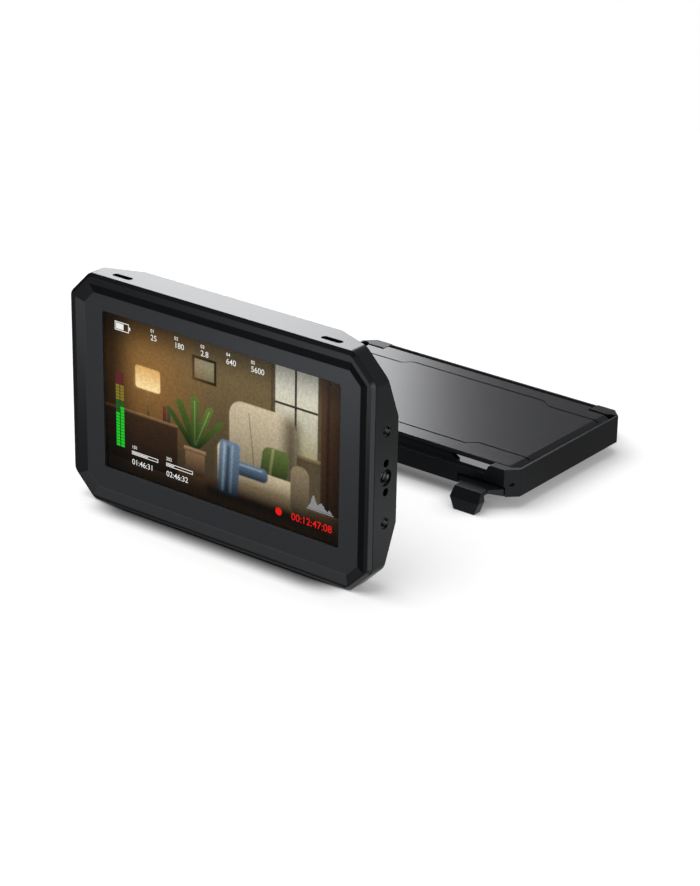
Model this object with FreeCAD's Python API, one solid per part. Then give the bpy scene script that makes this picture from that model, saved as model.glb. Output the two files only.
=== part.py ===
"""A camera field monitor and the folding sun hood that was taken off it. Sizes are in millimetres.

The monitor stands upright on its lower face. X runs to the right as seen from the front, Y runs from
front to back, Z is up, and the origin is the centre of the mouth of the lower tripod thread.
The hood lies behind the monitor with its flap up, standing on its own hooks and latch feet.
Sizes that can be set by themselves are named below, and the rest follows from them.
"""
import FreeCAD
import Part
import math
import os
from FreeCAD import Vector

# Screen window, and how far the glass laps behind its edge
WINDOW_WIDTH = 111.3
WINDOW_HEIGHT = 62.9
WINDOW_RADIUS = 1.0
GLASS_LAP = 2.0

# Margins between the glass and the outside of the body
SIDE_MARGIN = 13.4
TOP_MARGIN = 11.64
BOTTOM_MARGIN = 12.61

# Layers from the front panel to the back of the body, whose depths add up to the depth of the sides
LIP = 1.0
GASKET = 0.3
GLASS = 1.1
CELL = 1.1
BACKLIGHT = 2.0
MID_FRAME = 1.0
STANDOFF = 1.05
BOARD = 1.0
CHIP = 0.8
PAD = 0.75
WALL = 3.0

# Outline of the body and its rim
CORNER_LEG = 9.75
CORNER_ROUND = 4.0
REAR_CUT_RUN = 15.6
REAR_CUT_DEPTH = 6.2
RIM_PROUD = 1.15
RIM_CHAMFER = 1.45
RIM_FLAT_SIDE = 1.75
RIM_FLAT_TOP = 2.42
RIM_FLAT_BOTTOM = 0.76
BEVEL_WIDTH = 3.65
PANEL_LEG = 4.8

# Clearances
FIT_GAP = 0.15
GASKET_STEP = 0.5
INSERT_GAP = 0.05
SCREW_GAP = 0.1
RUN_GAP = 0.05
PRESS_GAP = 0.02
TOUCH_GAP = 0.02
SWING_GAP = 0.3

# Slots that take the hood's hooks, in the upper and lower faces
SLOT_FROM_SIDE = 22.45
SLOT_LENGTH = 9.0
SLOT_WIDTH = 2.6
SLOT_BACK = 3.9
SLOT_DEEP = 2.2

# Side and lower mounts: a quarter-inch thread, two locating holes and, at the sides, two M4 holes
MOUNT_Z = 44.56
THREAD_RADIUS = 3.175
INSERT_WALL = 0.45
INSERT_LENGTH = 8.0
INSERT_SETBACK = 0.84
PIN_HOLE_OFFSET = 5.5
PIN_HOLE_RADIUS = 1.5
PIN_HOLE_DEEP = 4.0
M4_RADIUS = 2.0
M4_DEEP = 7.0
M4_OFFSET = 17.5
M4_CHAMFER = 0.3
BLOCK_END = 4.5

# Screws through the back that clamp shell, frame and bezel
POST_X = 36.0
POST_INSET = 7.4
POST_RADIUS = 2.5
POST_FLOOR = 0.5
SCREW_RADIUS = 1.1
SCREW_HEAD_RADIUS = 2.1
SCREW_HEAD = 1.4
SCREW_SINK = 0.1
HEX_ACROSS = 1.5
HEX_DEEP = 0.8
FRAME_LAP = 1.2
EAR_WIDTH = 8.0
EAR_END = 3.2

# Main board, its fixings, chips, display cable and socket
BOARD_WIDTH = 88.0
BOARD_HEIGHT = 48.0
BOARD_HOLE_INSET = 4.0
STANDOFF_ACROSS = 4.0
BOARD_SCREW_RADIUS = 0.9
BOARD_SCREW_HEAD_RADIUS = 1.8
BOARD_SCREW_HEAD = 0.7
CHIP_SIZES = ((14.0, 14.0), (9.0, 11.0), (9.0, 11.0))
CHIP_PITCH = 16.0
FLEX_X = -20.0
FLEX_WIDTH = 16.0
FLEX_THICK = 0.2
FLEX_DROP = 0.9
FLEX_LAP = 4.0
FLEX_SLOT_GAP = 0.6
PORT_FROM_BOARD_SIDE = 16.0
PORT_ABOVE_BOARD_EDGE = 9.0
PORT_WIDTH = 8.94
PORT_HEIGHT = 3.26
PORT_SKIN = 0.32
PORT_BACK = 0.5
PORT_GAP = 0.25
PORT_SINK = 0.3
TONGUE_WIDTH = 6.7
TONGUE_THICK = 0.7
TONGUE_SHORT = 0.6

# Hood: where it lies and the ring that seats in the bezel's recess
HOOD_X = 4.9
HOOD_Y = 122.6
HOOD_GAP = 0.6
HOOD_HEIGHT = 11.1
HOOD_VIEW_GAP = 0.55
BASE_PLATE = 2.0
SIDE_WALL = 1.0
NEAR_WALL = 3.8
NEAR_WALL_HEIGHT = 7.0
FAR_WALL = 1.6
NEAR_CORNER_LEG = 2.5
NEAR_TAB_LENGTH = 13.7
NEAR_TAB_LEAN = 1.7
NEAR_TAB_CHAMFER = 1.0
NEAR_TAB_CHAMFER_DROP = 0.6
FAR_TAB_LENGTH = 12.4
FAR_TAB_DEPTH = 5.6
FAR_POCKET = 1.2
FAR_POCKET_RUN = 2.0
RIB_LATCH_GAP = 3.55
RIB_DEPTH = 2.5
RIB_LEAN = 0.9
RIB_SLOPE_RUN = 3.0

# Hood flap with its inlaid plate and its hinge
FLAP_THICKNESS = 1.9
FLAP_SIDE_GAP = 0.4
FLAP_NEAR_GAP = 0.5
FLAP_REST_GAP = 0.1
FLAP_BEVEL_RUN = 3.8
FLAP_BEVEL_EDGE = 0.3
FLAP_CORNER_LEG = 2.9
FLAP_NOTCH_GAP = 1.4
HINGE_GAP = 1.1
HINGE_PIN_RADIUS = 0.5
HINGE_PIN_LAP = 8.0
HINGE_PIN_SINK = 0.3
PLATE_THICKNESS = 0.9
PLATE_SEAM = 0.75
PLATE_HALF_SIDE = 24.1
PLATE_STEP = 3.5
PLATE_STEP_X = 32.7
PLATE_SHIFT = 0.7

# Cheeks folded under the flap
CHEEK_INSET = 2.2
CHEEK_THICKNESS = 1.4
CHEEK_MID_GAP = 4.0
CHEEK_TAPER = 16.0
CHEEK_NEAR_GAP = 3.6
CHEEK_FAR_GAP = 6.4
CHEEK_CORNER = 3.0
KNUCKLE_RADIUS = 1.2
KNUCKLE_CLEAR = 0.4
LUG_LENGTH = 2.4
CHEEK_PIN_RADIUS = 0.5

# Latches on the near edge and fixed hooks on the far edge
HOOK_DROP = 5.4
PIVOT_IN = 2.2
PIVOT_Z = 5.0
HUB_RADIUS = 1.3
HUB_HALF_LEFT = 10.0
HUB_HALF_RIGHT = 3.8
LATCH_PIN_RADIUS = 0.7
LATCH_PIN_LAP = 3.3
LATCH_PIN_SINK = 0.9
POCKET_GAP = 0.2
POCKET_BEHIND = 1.5
ARM_CLEAR = 0.45
ARM_ROOT_LOW = 0.35
ARM_THICKNESS = 1.6
ARM_TAPER = 4.4
ARM_SWING = 0.85
FOOT_CLEAR = 0.3
FOOT_TOP_HALF = 6.1
FOOT_CREASE_HALF = 6.6
FOOT_TIP_HALF = 4.7
FOOT_TOP_RUN = 1.8
FOOT_CREASE_RUN = 4.1
FOOT_CREASE_Z = -0.6
NIB_HALF = 3.8
NIB_REACH = 1.5
NIB_THICKNESS = 2.0
HOOK_THICKNESS = 2.4
HOOK_ARM_TOP = 3.4

# Leaf springs of the latches
LEAF_THICKNESS = 0.25
LEAF_WIDTH = 4.0
LEAF_SIDE_GAP = 0.6
LEAF_LAP = 2.0
LEAF_PIN_GAP = 0.25
LEAF_ARM_GAP = 0.42

# Places and outlines that follow from the sizes above
X_AXIS = Vector(1, 0, 0)
Y_AXIS = Vector(0, 1, 0)
Z_AXIS = Vector(0, 0, 1)
OVERCUT = 1.0
LEG_GROWTH = 2.0 - math.sqrt(2.0)

GLASS_HALF = WINDOW_WIDTH / 2 + GLASS_LAP
GLASS_HEIGHT = WINDOW_HEIGHT + 2 * GLASS_LAP
GLASS_LOW = BOTTOM_MARGIN
WINDOW_MID_Z = GLASS_LOW + GLASS_HEIGHT / 2
BODY_HALF = GLASS_HALF + SIDE_MARGIN
BODY_HEIGHT = BOTTOM_MARGIN + GLASS_HEIGHT + TOP_MARGIN
BODY_DEPTH = LIP + GASKET + GLASS + CELL + BACKLIGHT + MID_FRAME + STANDOFF + BOARD + CHIP + PAD + WALL

FRONT_Y = -BODY_DEPTH / 2
REAR_Y = BODY_DEPTH / 2
RIM_Y = FRONT_Y - RIM_PROUD
GASKET_Y = FRONT_Y + LIP
GLASS_Y = GASKET_Y + GASKET
CELL_Y = GLASS_Y + GLASS
BACKLIGHT_Y = CELL_Y + CELL
MID_FRAME_Y = BACKLIGHT_Y + BACKLIGHT
STANDOFF_Y = MID_FRAME_Y + MID_FRAME
BOARD_Y = STANDOFF_Y + STANDOFF
CHIP_Y = BOARD_Y + BOARD
PAD_Y = CHIP_Y + CHIP
REAR_WALL_Y = PAD_Y + PAD
SLOT_X = BODY_HALF - SLOT_FROM_SIDE
SLOT_Y = FRONT_Y + SLOT_BACK


def grown(outline, by):
    """The octagon outline (half width, low, high, corner leg) with every side moved out by one distance."""
    half, low, high, leg = outline
    return (half + by, low - by, high + by, leg + by * LEG_GROWTH)


PANEL_HALF = BODY_HALF - RIM_CHAMFER - RIM_FLAT_SIDE - BEVEL_WIDTH
PANEL_LOW = RIM_CHAMFER + RIM_FLAT_BOTTOM + BEVEL_WIDTH
PANEL_HIGH = BODY_HEIGHT - RIM_CHAMFER - RIM_FLAT_TOP - BEVEL_WIDTH
BODY_OUTLINE = (BODY_HALF, 0.0, BODY_HEIGHT, CORNER_LEG)
PANEL_OUTLINE = (PANEL_HALF, PANEL_LOW, PANEL_HIGH, PANEL_LEG)
CAVITY_OUTLINE = grown(BODY_OUTLINE, -WALL)
PLATE_OUTLINE = grown(CAVITY_OUTLINE, -FIT_GAP)

INSERT_RADIUS = THREAD_RADIUS + INSERT_WALL
BLOCK_DEPTH = INSERT_SETBACK + INSERT_LENGTH
BLOCK_FRONT_Y = CELL_Y + FIT_GAP
BOARD_LOW = WINDOW_MID_Z - BOARD_HEIGHT / 2
PORT_X = PORT_FROM_BOARD_SIDE - BOARD_WIDTH / 2
PORT_Z = BOARD_LOW + PORT_ABOVE_BOARD_EDGE
POSTS = [(x, z) for x in (-POST_X, POST_X) for z in (POST_INSET, BODY_HEIGHT - POST_INSET)]

HOOD_OUTLINE = grown(PANEL_OUTLINE, -HOOD_GAP)
HOOD_HALF = HOOD_OUTLINE[0]
HOOD_HALF_Y = (HOOD_OUTLINE[2] - HOOD_OUTLINE[1]) / 2
HOOD_LEG = HOOD_OUTLINE[3]
HOOD_MID_Z = (HOOD_OUTLINE[2] + HOOD_OUTLINE[1]) / 2
HOOD_PLACE = Vector(HOOD_X, HOOD_Y, HOOK_DROP)
VIEW_HALF = WINDOW_WIDTH / 2 + HOOD_VIEW_GAP
VIEW_NEAR = WINDOW_MID_Z - HOOD_MID_Z - WINDOW_HEIGHT / 2 - HOOD_VIEW_GAP
VIEW_FAR = WINDOW_MID_Z - HOOD_MID_Z + WINDOW_HEIGHT / 2 + HOOD_VIEW_GAP
NEAR_FACE = -HOOD_HALF_Y
NEAR_INNER = NEAR_FACE + NEAR_WALL
FAR_INNER = HOOD_HALF_Y - FAR_WALL
NEAR_TAB_X = HOOD_HALF - NEAR_TAB_LENGTH
FAR_TAB_X = HOOD_HALF - FAR_TAB_LENGTH
FAR_TAB_Y = HOOD_HALF_Y - FAR_TAB_DEPTH

FLAP_UNDER = HOOD_HEIGHT - FLAP_THICKNESS
FLAP_ROUND = FLAP_THICKNESS / 2
HINGE_Y = FAR_INNER - HINGE_GAP - FLAP_ROUND
HINGE_Z = HOOD_HEIGHT - FLAP_ROUND
FLAP_HALF = HOOD_HALF - SIDE_WALL - FLAP_SIDE_GAP
FLAP_NEAR = NEAR_INNER + FLAP_NEAR_GAP
PLATE_FLOOR = HOOD_HEIGHT - PLATE_THICKNESS

CHEEK_X = VIEW_HALF - CHEEK_INSET
CHEEK_Z = FLAP_UNDER - KNUCKLE_CLEAR - KNUCKLE_RADIUS
CHEEK_NEAR = VIEW_NEAR + CHEEK_NEAR_GAP
CHEEK_FAR = VIEW_FAR - CHEEK_FAR_GAP - LUG_LENGTH
CHEEK_DEPTH_FAR = CHEEK_X - CHEEK_MID_GAP
CHEEK_DEPTH_NEAR = CHEEK_DEPTH_FAR - CHEEK_TAPER

PIVOT_Y = NEAR_FACE + PIVOT_IN
ARM_LOW = RIM_PROUD + ARM_CLEAR
ARM_TOP = ARM_LOW + ARM_THICKNESS
ARM_HALF_WIDE = HOOD_HALF - HOOD_LEG - SLOT_X
NOTCH_HALF = ARM_HALF_WIDE + SWING_GAP
NOTCH_TOP = ARM_TOP + ARM_SWING
POCKET_FRONT = PIVOT_Y - HUB_RADIUS - POCKET_GAP
POCKET_REAR = PIVOT_Y + HUB_RADIUS + POCKET_BEHIND
POCKET_TOP = PIVOT_Z + HUB_RADIUS + POCKET_GAP
FOOT_INNER = NEAR_FACE - (PANEL_LOW + HOOD_GAP) - FOOT_CLEAR
HOOK_INNER = HOOD_HALF_Y + (BODY_HEIGHT - PANEL_HIGH + HOOD_GAP) + FOOT_CLEAR
NIB_Z = -SLOT_BACK


def box(x, y, z):
    """A box from its low and high value along each axis."""
    return Part.makeBox(x[1] - x[0], y[1] - y[0], z[1] - z[0], Vector(x[0], y[0], z[0]))


def rod(radius, start, along, length):
    """A round bar from a start point along a direction."""
    return Part.makeCylinder(radius, length, Vector(*start), along)


def prism(points, sweep):
    """A closed outline of points swept along a vector."""
    wire = Part.makePolygon([Vector(*p) for p in points] + [Vector(*points[0])])
    return Part.Face(wire).extrude(sweep)


def profile_x(points, x0, x1):
    """An outline in Y and Z swept from x0 to x1."""
    return prism([(x0, y, z) for y, z in points], X_AXIS * (x1 - x0))


def profile_y(points, y0, y1):
    """An outline in X and Z swept from y0 to y1."""
    return prism([(x, y0, z) for x, z in points], Y_AXIS * (y1 - y0))


def profile_z(points, z0, z1):
    """An outline in X and Y swept from z0 to z1."""
    return prism([(x, y, z0) for x, y in points], Z_AXIS * (z1 - z0))


def octagon(half, low, high, leg):
    """Corner points of an upright outline with four cut corners."""
    return [
        (half, low + leg), (half, high - leg), (half - leg, high), (leg - half, high),
        (-half, high - leg), (-half, low + leg), (leg - half, low), (half - leg, low),
    ]


def hexagon(across, x, z):
    """Corner points of an upright hexagon from its width across flats."""
    corner = across / math.sqrt(3.0)
    turns = [math.radians(60 * i) for i in range(6)]
    return [(x + corner * math.cos(turn), z + corner * math.sin(turn)) for turn in turns]


def octagon_loft(front, y0, rear, y1):
    """A solid with flat sides between two octagon outlines."""
    near = [Vector(x, y0, z) for x, z in octagon(*front)]
    far = [Vector(x, y1, z) for x, z in octagon(*rear)]
    loops = [near, far]
    for i in range(len(near)):
        loops.append([near[i - 1], near[i], far[i], far[i - 1]])
    faces = [Part.Face(Part.makePolygon(loop + [loop[0]])) for loop in loops]
    return Part.makeSolid(Part.makeShell(faces))


def rounded_octagon(outline, radius, y0, y1):
    """An octagon bar along Y with rounded long edges."""
    bar = octagon_loft(outline, y0, outline, y1)
    long_edges = [e for e in bar.Edges if abs(e.tangentAt(e.FirstParameter).y) > 1 - 1e-6]
    return bar.makeFillet(radius, long_edges)


def rounded_plate(width, height, radius, y0, y1, mid_x, mid_z):
    """An upright plate with rounded corners."""
    plate = box((mid_x - width / 2, mid_x + width / 2), (y0, y1), (mid_z - height / 2, mid_z + height / 2))
    corners = [e for e in plate.Edges if abs(e.tangentAt(e.FirstParameter).y) > 1 - 1e-6]
    return plate.makeFillet(radius, corners)


def mirrored(shape):
    """The same shape on the other side of the middle plane."""
    return shape.mirror(Vector(0, 0, 0), X_AXIS)


def fused(first, others):
    """One solid from touching shapes, with its split faces joined again."""
    return first.fuse(list(others)).removeSplitter()


def with_leg(outline, leg):
    """The same outline with another corner leg."""
    return outline[:3] + (leg,)


# Front bezel: chamfered rim, shallow bevel, flat panel with the window, and screw posts behind
def chamfered_rim():
    bar = rounded_octagon(BODY_OUTLINE, CORNER_ROUND, RIM_Y, FRONT_Y + OVERCUT)
    front_loop = [e for e in bar.Edges if e.BoundBox.YMax < FRONT_Y]
    wide = box((-BODY_HALF, BODY_HALF), (RIM_Y, FRONT_Y), (0, BODY_HEIGHT))
    return bar.makeChamfer(RIM_CHAMFER, RIM_PROUD, front_loop).common(wide)


def front_bezel():
    rim = chamfered_rim()
    recess = octagon_loft(grown(PANEL_OUTLINE, BEVEL_WIDTH), RIM_Y, PANEL_OUTLINE, FRONT_Y)
    plate = octagon_loft(PLATE_OUTLINE, FRONT_Y, PLATE_OUTLINE, CELL_Y)
    posts = [rod(POST_RADIUS, (x, CELL_Y, z), Y_AXIS, MID_FRAME_Y - CELL_Y) for x, z in POSTS]
    body = fused(rim.cut(recess), [plate] + posts)
    window = rounded_plate(
        WINDOW_WIDTH, WINDOW_HEIGHT, WINDOW_RADIUS, RIM_Y, CELL_Y + OVERCUT, 0, WINDOW_MID_Z
    )
    pocket = rounded_plate(
        2 * (GLASS_HALF + FIT_GAP), GLASS_HEIGHT + 2 * FIT_GAP, WINDOW_RADIUS, GASKET_Y, CELL_Y + OVERCUT,
        0, WINDOW_MID_Z,
    )
    bores = [
        rod(SCREW_RADIUS + SCREW_GAP, (x, GLASS_Y + POST_FLOOR, z), Y_AXIS, MID_FRAME_Y - GLASS_Y)
        for x, z in POSTS
    ]
    return body.cut([window, pocket] + bores)


# Rear shell: a tray with slanted rear corners, thick blocks round the mounts and bosses for the screws
def shell_outside():
    cut_y = REAR_Y - REAR_CUT_DEPTH
    front = octagon_loft(BODY_OUTLINE, FRONT_Y, BODY_OUTLINE, cut_y)
    rear_outline = with_leg(BODY_OUTLINE, CORNER_LEG + REAR_CUT_RUN)
    sharp = fused(front, [octagon_loft(BODY_OUTLINE, cut_y, rear_outline, REAR_Y)])
    return sharp.common(rounded_octagon(BODY_OUTLINE, CORNER_ROUND, FRONT_Y, REAR_Y))


def shell_cavity():
    lean = math.atan2(REAR_CUT_DEPTH, REAR_CUT_RUN / math.sqrt(2.0))
    cut_y = REAR_Y - REAR_CUT_DEPTH - WALL / math.cos(lean)
    leg = CAVITY_OUTLINE[3]
    rear_leg = leg + REAR_CUT_RUN / REAR_CUT_DEPTH * (REAR_WALL_Y - cut_y)
    front = octagon_loft(CAVITY_OUTLINE, FRONT_Y - OVERCUT, CAVITY_OUTLINE, cut_y)
    rear = octagon_loft(CAVITY_OUTLINE, cut_y, with_leg(CAVITY_OUTLINE, rear_leg), REAR_WALL_Y)
    return fused(front, [rear])


def thread_cut():
    """The quarter-inch mouth, the seat of its insert and two locating holes, along +Z from the origin."""
    mouth = rod(THREAD_RADIUS, (0, 0, -OVERCUT), Z_AXIS, OVERCUT + INSERT_SETBACK)
    seat = rod(INSERT_RADIUS + INSERT_GAP, (0, 0, INSERT_SETBACK), Z_AXIS, INSERT_LENGTH + OVERCUT)
    pins = [
        rod(PIN_HOLE_RADIUS, (x, 0, -OVERCUT), Z_AXIS, OVERCUT + PIN_HOLE_DEEP)
        for x in (-PIN_HOLE_OFFSET, PIN_HOLE_OFFSET)
    ]
    return mouth.fuse([seat] + pins)


def m4_cut():
    """Two threaded holes with chamfered mouths, along +Z from the origin."""
    tools = []
    for x in (-M4_OFFSET, M4_OFFSET):
        tools.append(rod(M4_RADIUS, (x, 0, -OVERCUT), Z_AXIS, OVERCUT + M4_DEEP))
        tools.append(Part.makeCone(M4_RADIUS + M4_CHAMFER, M4_RADIUS, M4_CHAMFER, Vector(x, 0, 0)))
    return tools[0].fuse(tools[1:])


def at_right_side(shape):
    """Turns a tool that works along +Z from the origin to work into the right side of the body."""
    turned = shape.copy()
    turned.rotate(Vector(0, 0, 0), Y_AXIS, -90)
    turned.translate(Vector(BODY_HALF, 0, MOUNT_Z))
    return turned


def hook_slot(x, z0, z1):
    """A bar with round ends that cuts one hook slot."""
    straight = (SLOT_LENGTH - SLOT_WIDTH) / 2
    middle = box((x - straight, x + straight), (SLOT_Y - SLOT_WIDTH / 2, SLOT_Y + SLOT_WIDTH / 2), (z0, z1))
    ends = [rod(SLOT_WIDTH / 2, (x + side * straight, SLOT_Y, z0), Z_AXIS, z1 - z0) for side in (-1, 1)]
    return middle.fuse(ends)


def rear_shell():
    outside = shell_outside()
    block_y = (BLOCK_FRONT_Y, REAR_Y)
    half = M4_OFFSET + BLOCK_END
    side = box((BODY_HALF - BLOCK_DEPTH, BODY_HALF), block_y, (MOUNT_Z - half, MOUNT_Z + half))
    low_half = PIN_HOLE_OFFSET + BLOCK_END
    low = box((-low_half, low_half), block_y, (0, BLOCK_DEPTH))
    bosses = [rod(POST_RADIUS, (x, STANDOFF_Y, z), Y_AXIS, REAR_Y - STANDOFF_Y) for x, z in POSTS]
    blocks = [shape.common(outside) for shape in [side, mirrored(side), low] + bosses]
    body = fused(outside.cut(shell_cavity()), blocks)

    side_tool = at_right_side(thread_cut().fuse(m4_cut()))
    tools = [side_tool, mirrored(side_tool), thread_cut()]
    for x in (-SLOT_X, SLOT_X):
        tools.append(hook_slot(x, -OVERCUT, SLOT_DEEP))
        tools.append(hook_slot(x, BODY_HEIGHT - SLOT_DEEP, BODY_HEIGHT + OVERCUT))
    for x, z in POSTS:
        tools.append(rod(SCREW_RADIUS + SCREW_GAP, (x, STANDOFF_Y - OVERCUT, z), Y_AXIS, BODY_DEPTH))
        head_y = REAR_Y - SCREW_SINK - SCREW_HEAD
        tools.append(rod(SCREW_HEAD_RADIUS + SCREW_GAP, (x, head_y, z), Y_AXIS, SCREW_HEAD + OVERCUT))
    tools.append(port_bar(PORT_GAP, REAR_WALL_Y - OVERCUT, REAR_Y + OVERCUT))
    return body.cut(tools)


# Thread inserts: steel bushes behind the mouths of the quarter-inch threads
def thread_insert():
    outer = rod(INSERT_RADIUS, (0, 0, INSERT_SETBACK), Z_AXIS, INSERT_LENGTH)
    return outer.cut(rod(THREAD_RADIUS, (0, 0, 0), Z_AXIS, BLOCK_DEPTH + OVERCUT))


# Display stack: gasket, glass, cell and backlight lie face to face behind the bezel's lip
def display_layer(y, depth):
    return box((-GLASS_HALF, GLASS_HALF), (y, y + depth), (GLASS_LOW, GLASS_LOW + GLASS_HEIGHT))


def window_gasket():
    ring = display_layer(GASKET_Y, GASKET)
    hole = rounded_plate(
        WINDOW_WIDTH + 2 * GASKET_STEP, WINDOW_HEIGHT + 2 * GASKET_STEP, WINDOW_RADIUS,
        GASKET_Y - OVERCUT, GLASS_Y + OVERCUT, 0, WINDOW_MID_Z,
    )
    return ring.cut(hole)


# Mid frame: a metal plate that backs the display, with ears on the screw posts and a slot for the cable
def mid_frame():
    rear = STANDOFF_Y
    high = GLASS_LOW + GLASS_HEIGHT
    plate = box(
        (-GLASS_HALF - FRAME_LAP, GLASS_HALF + FRAME_LAP), (MID_FRAME_Y, rear),
        (GLASS_LOW - FRAME_LAP, high + FRAME_LAP),
    )
    ears = []
    for x, z in POSTS:
        span = (z - EAR_END, GLASS_LOW) if z < WINDOW_MID_Z else (high, z + EAR_END)
        ears.append(box((x - EAR_WIDTH / 2, x + EAR_WIDTH / 2), (MID_FRAME_Y, rear), span))
    holes = [
        rod(SCREW_RADIUS + SCREW_GAP, (x, MID_FRAME_Y - OVERCUT, z), Y_AXIS, MID_FRAME + 2 * OVERCUT)
        for x, z in POSTS
    ]
    holes += [
        rod(BOARD_SCREW_RADIUS + SCREW_GAP, (x, MID_FRAME_Y - OVERCUT, z), Y_AXIS, MID_FRAME + 2 * OVERCUT)
        for x, z in board_holes()
    ]
    slot = box(
        (FLEX_X - FLEX_SLOT_GAP, FLEX_X + FLEX_WIDTH + FLEX_SLOT_GAP), (MID_FRAME_Y - OVERCUT, rear + OVERCUT),
        (GLASS_LOW - FRAME_LAP - OVERCUT, GLASS_LOW),
    )
    return fused(plate, ears).cut(holes + [slot])


# Main board with standoffs, screws, chips and a pad that leads heat to the shell
def board_holes():
    x = BOARD_WIDTH / 2 - BOARD_HOLE_INSET
    z = BOARD_HEIGHT / 2 - BOARD_HOLE_INSET
    return [(sx * x, WINDOW_MID_Z + sz * z) for sx in (-1, 1) for sz in (-1, 1)]


def main_board():
    board = box(
        (-BOARD_WIDTH / 2, BOARD_WIDTH / 2), (BOARD_Y, CHIP_Y), (BOARD_LOW, BOARD_LOW + BOARD_HEIGHT)
    )
    holes = [
        rod(BOARD_SCREW_RADIUS + SCREW_GAP, (x, BOARD_Y - OVERCUT, z), Y_AXIS, BOARD + 2 * OVERCUT)
        for x, z in board_holes()
    ]
    return board.cut(holes)


def board_standoffs():
    tubes = []
    for x, z in board_holes():
        tube = profile_y(hexagon(STANDOFF_ACROSS, x, z), STANDOFF_Y, BOARD_Y)
        bore = rod(BOARD_SCREW_RADIUS + SCREW_GAP, (x, STANDOFF_Y - OVERCUT, z), Y_AXIS, STANDOFF + 2 * OVERCUT)
        tubes.append(tube.cut(bore))
    return Part.makeCompound(tubes)


def board_screws():
    screws = []
    for x, z in board_holes():
        head = rod(BOARD_SCREW_HEAD_RADIUS, (x, CHIP_Y, z), Y_AXIS, BOARD_SCREW_HEAD)
        shank = rod(BOARD_SCREW_RADIUS, (x, MID_FRAME_Y, z), Y_AXIS, CHIP_Y - MID_FRAME_Y)
        screws.append(fused(head, [shank]))
    return Part.makeCompound(screws)


def chip(index):
    width, height = CHIP_SIZES[index]
    mid = index * CHIP_PITCH
    return box(
        (mid - width / 2, mid + width / 2), (CHIP_Y, PAD_Y),
        (WINDOW_MID_Z - height / 2, WINDOW_MID_Z + height / 2),
    )


def board_chips():
    return Part.makeCompound([chip(index) for index in range(len(CHIP_SIZES))])


def thermal_pad():
    width, height = CHIP_SIZES[0]
    return box(
        (-width / 2, width / 2), (PAD_Y, REAR_WALL_Y), (WINDOW_MID_Z - height / 2, WINDOW_MID_Z + height / 2)
    )


# Display cable: a flat strip from the cell's lower edge, under the mid frame, up to the board's front
def display_flex():
    front = CELL_Y + CELL / 2
    back = BOARD_Y
    low = GLASS_LOW - FLEX_DROP
    outline = [
        (front, GLASS_LOW), (front, low), (back, low), (back, BOARD_LOW + FLEX_LAP),
        (back - FLEX_THICK, BOARD_LOW + FLEX_LAP), (back - FLEX_THICK, low + FLEX_THICK),
        (front + FLEX_THICK, low + FLEX_THICK), (front + FLEX_THICK, GLASS_LOW),
    ]
    return profile_x(outline, FLEX_X, FLEX_X + FLEX_WIDTH)


# Type-C socket: a thin oval tube with its tongue, standing on the board and open at the back
def port_bar(grow, y0, y1):
    height = PORT_HEIGHT + 2 * grow
    half_oval = height / 2 * (1 - 1e-3)
    return rounded_plate(PORT_WIDTH + 2 * grow, height, half_oval, y0, y1, PORT_X, PORT_Z)


def type_c_port():
    mouth = REAR_Y - PORT_SINK
    tube = port_bar(0, CHIP_Y, mouth).cut(port_bar(-PORT_SKIN, CHIP_Y + PORT_BACK, mouth + OVERCUT))
    tongue = box(
        (PORT_X - TONGUE_WIDTH / 2, PORT_X + TONGUE_WIDTH / 2), (CHIP_Y, mouth - TONGUE_SHORT),
        (PORT_Z - TONGUE_THICK / 2, PORT_Z + TONGUE_THICK / 2),
    )
    return fused(tube, [tongue])


# Housing screws: socket heads sunk in the back, shanks through shell and frame into the bezel's posts
def housing_screws():
    screws = []
    for x, z in POSTS:
        head_y = REAR_Y - SCREW_SINK - SCREW_HEAD
        head = rod(SCREW_HEAD_RADIUS, (x, head_y, z), Y_AXIS, SCREW_HEAD)
        tip = GLASS_Y + 2 * POST_FLOOR
        shank = rod(SCREW_RADIUS, (x, tip, z), Y_AXIS, head_y - tip)
        socket = profile_y(hexagon(HEX_ACROSS, x, z), REAR_Y - SCREW_SINK - HEX_DEEP, REAR_Y + OVERCUT)
        screws.append(fused(head, [shank]).cut(socket))
    return Part.makeCompound(screws)


# Hood frame: a ring round the view, with low near wall, corner tabs, flap rest, latch pockets and hooks
def hood_block(z0, z1):
    points = octagon(HOOD_HALF, -HOOD_HALF_Y, HOOD_HALF_Y, HOOD_LEG)
    return profile_z(points, z0, z1)


def hood_hollow():
    """The space inside the ring's walls, which leaves full-height tabs at the far corners."""
    half = HOOD_HALF - SIDE_WALL
    pocket_y = FAR_TAB_Y + FAR_POCKET
    pocket_x = half - FAR_POCKET_RUN
    right = [
        (half - NEAR_CORNER_LEG, NEAR_INNER), (half, NEAR_INNER + NEAR_CORNER_LEG), (half, pocket_y),
        (pocket_x, pocket_y), (pocket_x - FAR_POCKET, FAR_TAB_Y), (FAR_TAB_X, FAR_TAB_Y), (FAR_TAB_X, FAR_INNER),
    ]
    points = right + [(-x, y) for x, y in reversed(right)]
    return profile_z(points, BASE_PLATE, HOOD_HEIGHT + OVERCUT)


def round_far_wall(ring):
    """The ring with a round top on its far wall between the tabs."""
    radius = FAR_WALL / 2
    edge = box(
        (-FAR_TAB_X, FAR_TAB_X), (FAR_INNER, HOOD_HALF_Y), (HOOD_HEIGHT - radius, HOOD_HEIGHT),
    )
    bead = rod(radius, (-FAR_TAB_X, HOOD_HALF_Y - radius, HOOD_HEIGHT - radius), X_AXIS, 2 * FAR_TAB_X)
    return ring.cut(edge.cut(bead))


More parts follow.
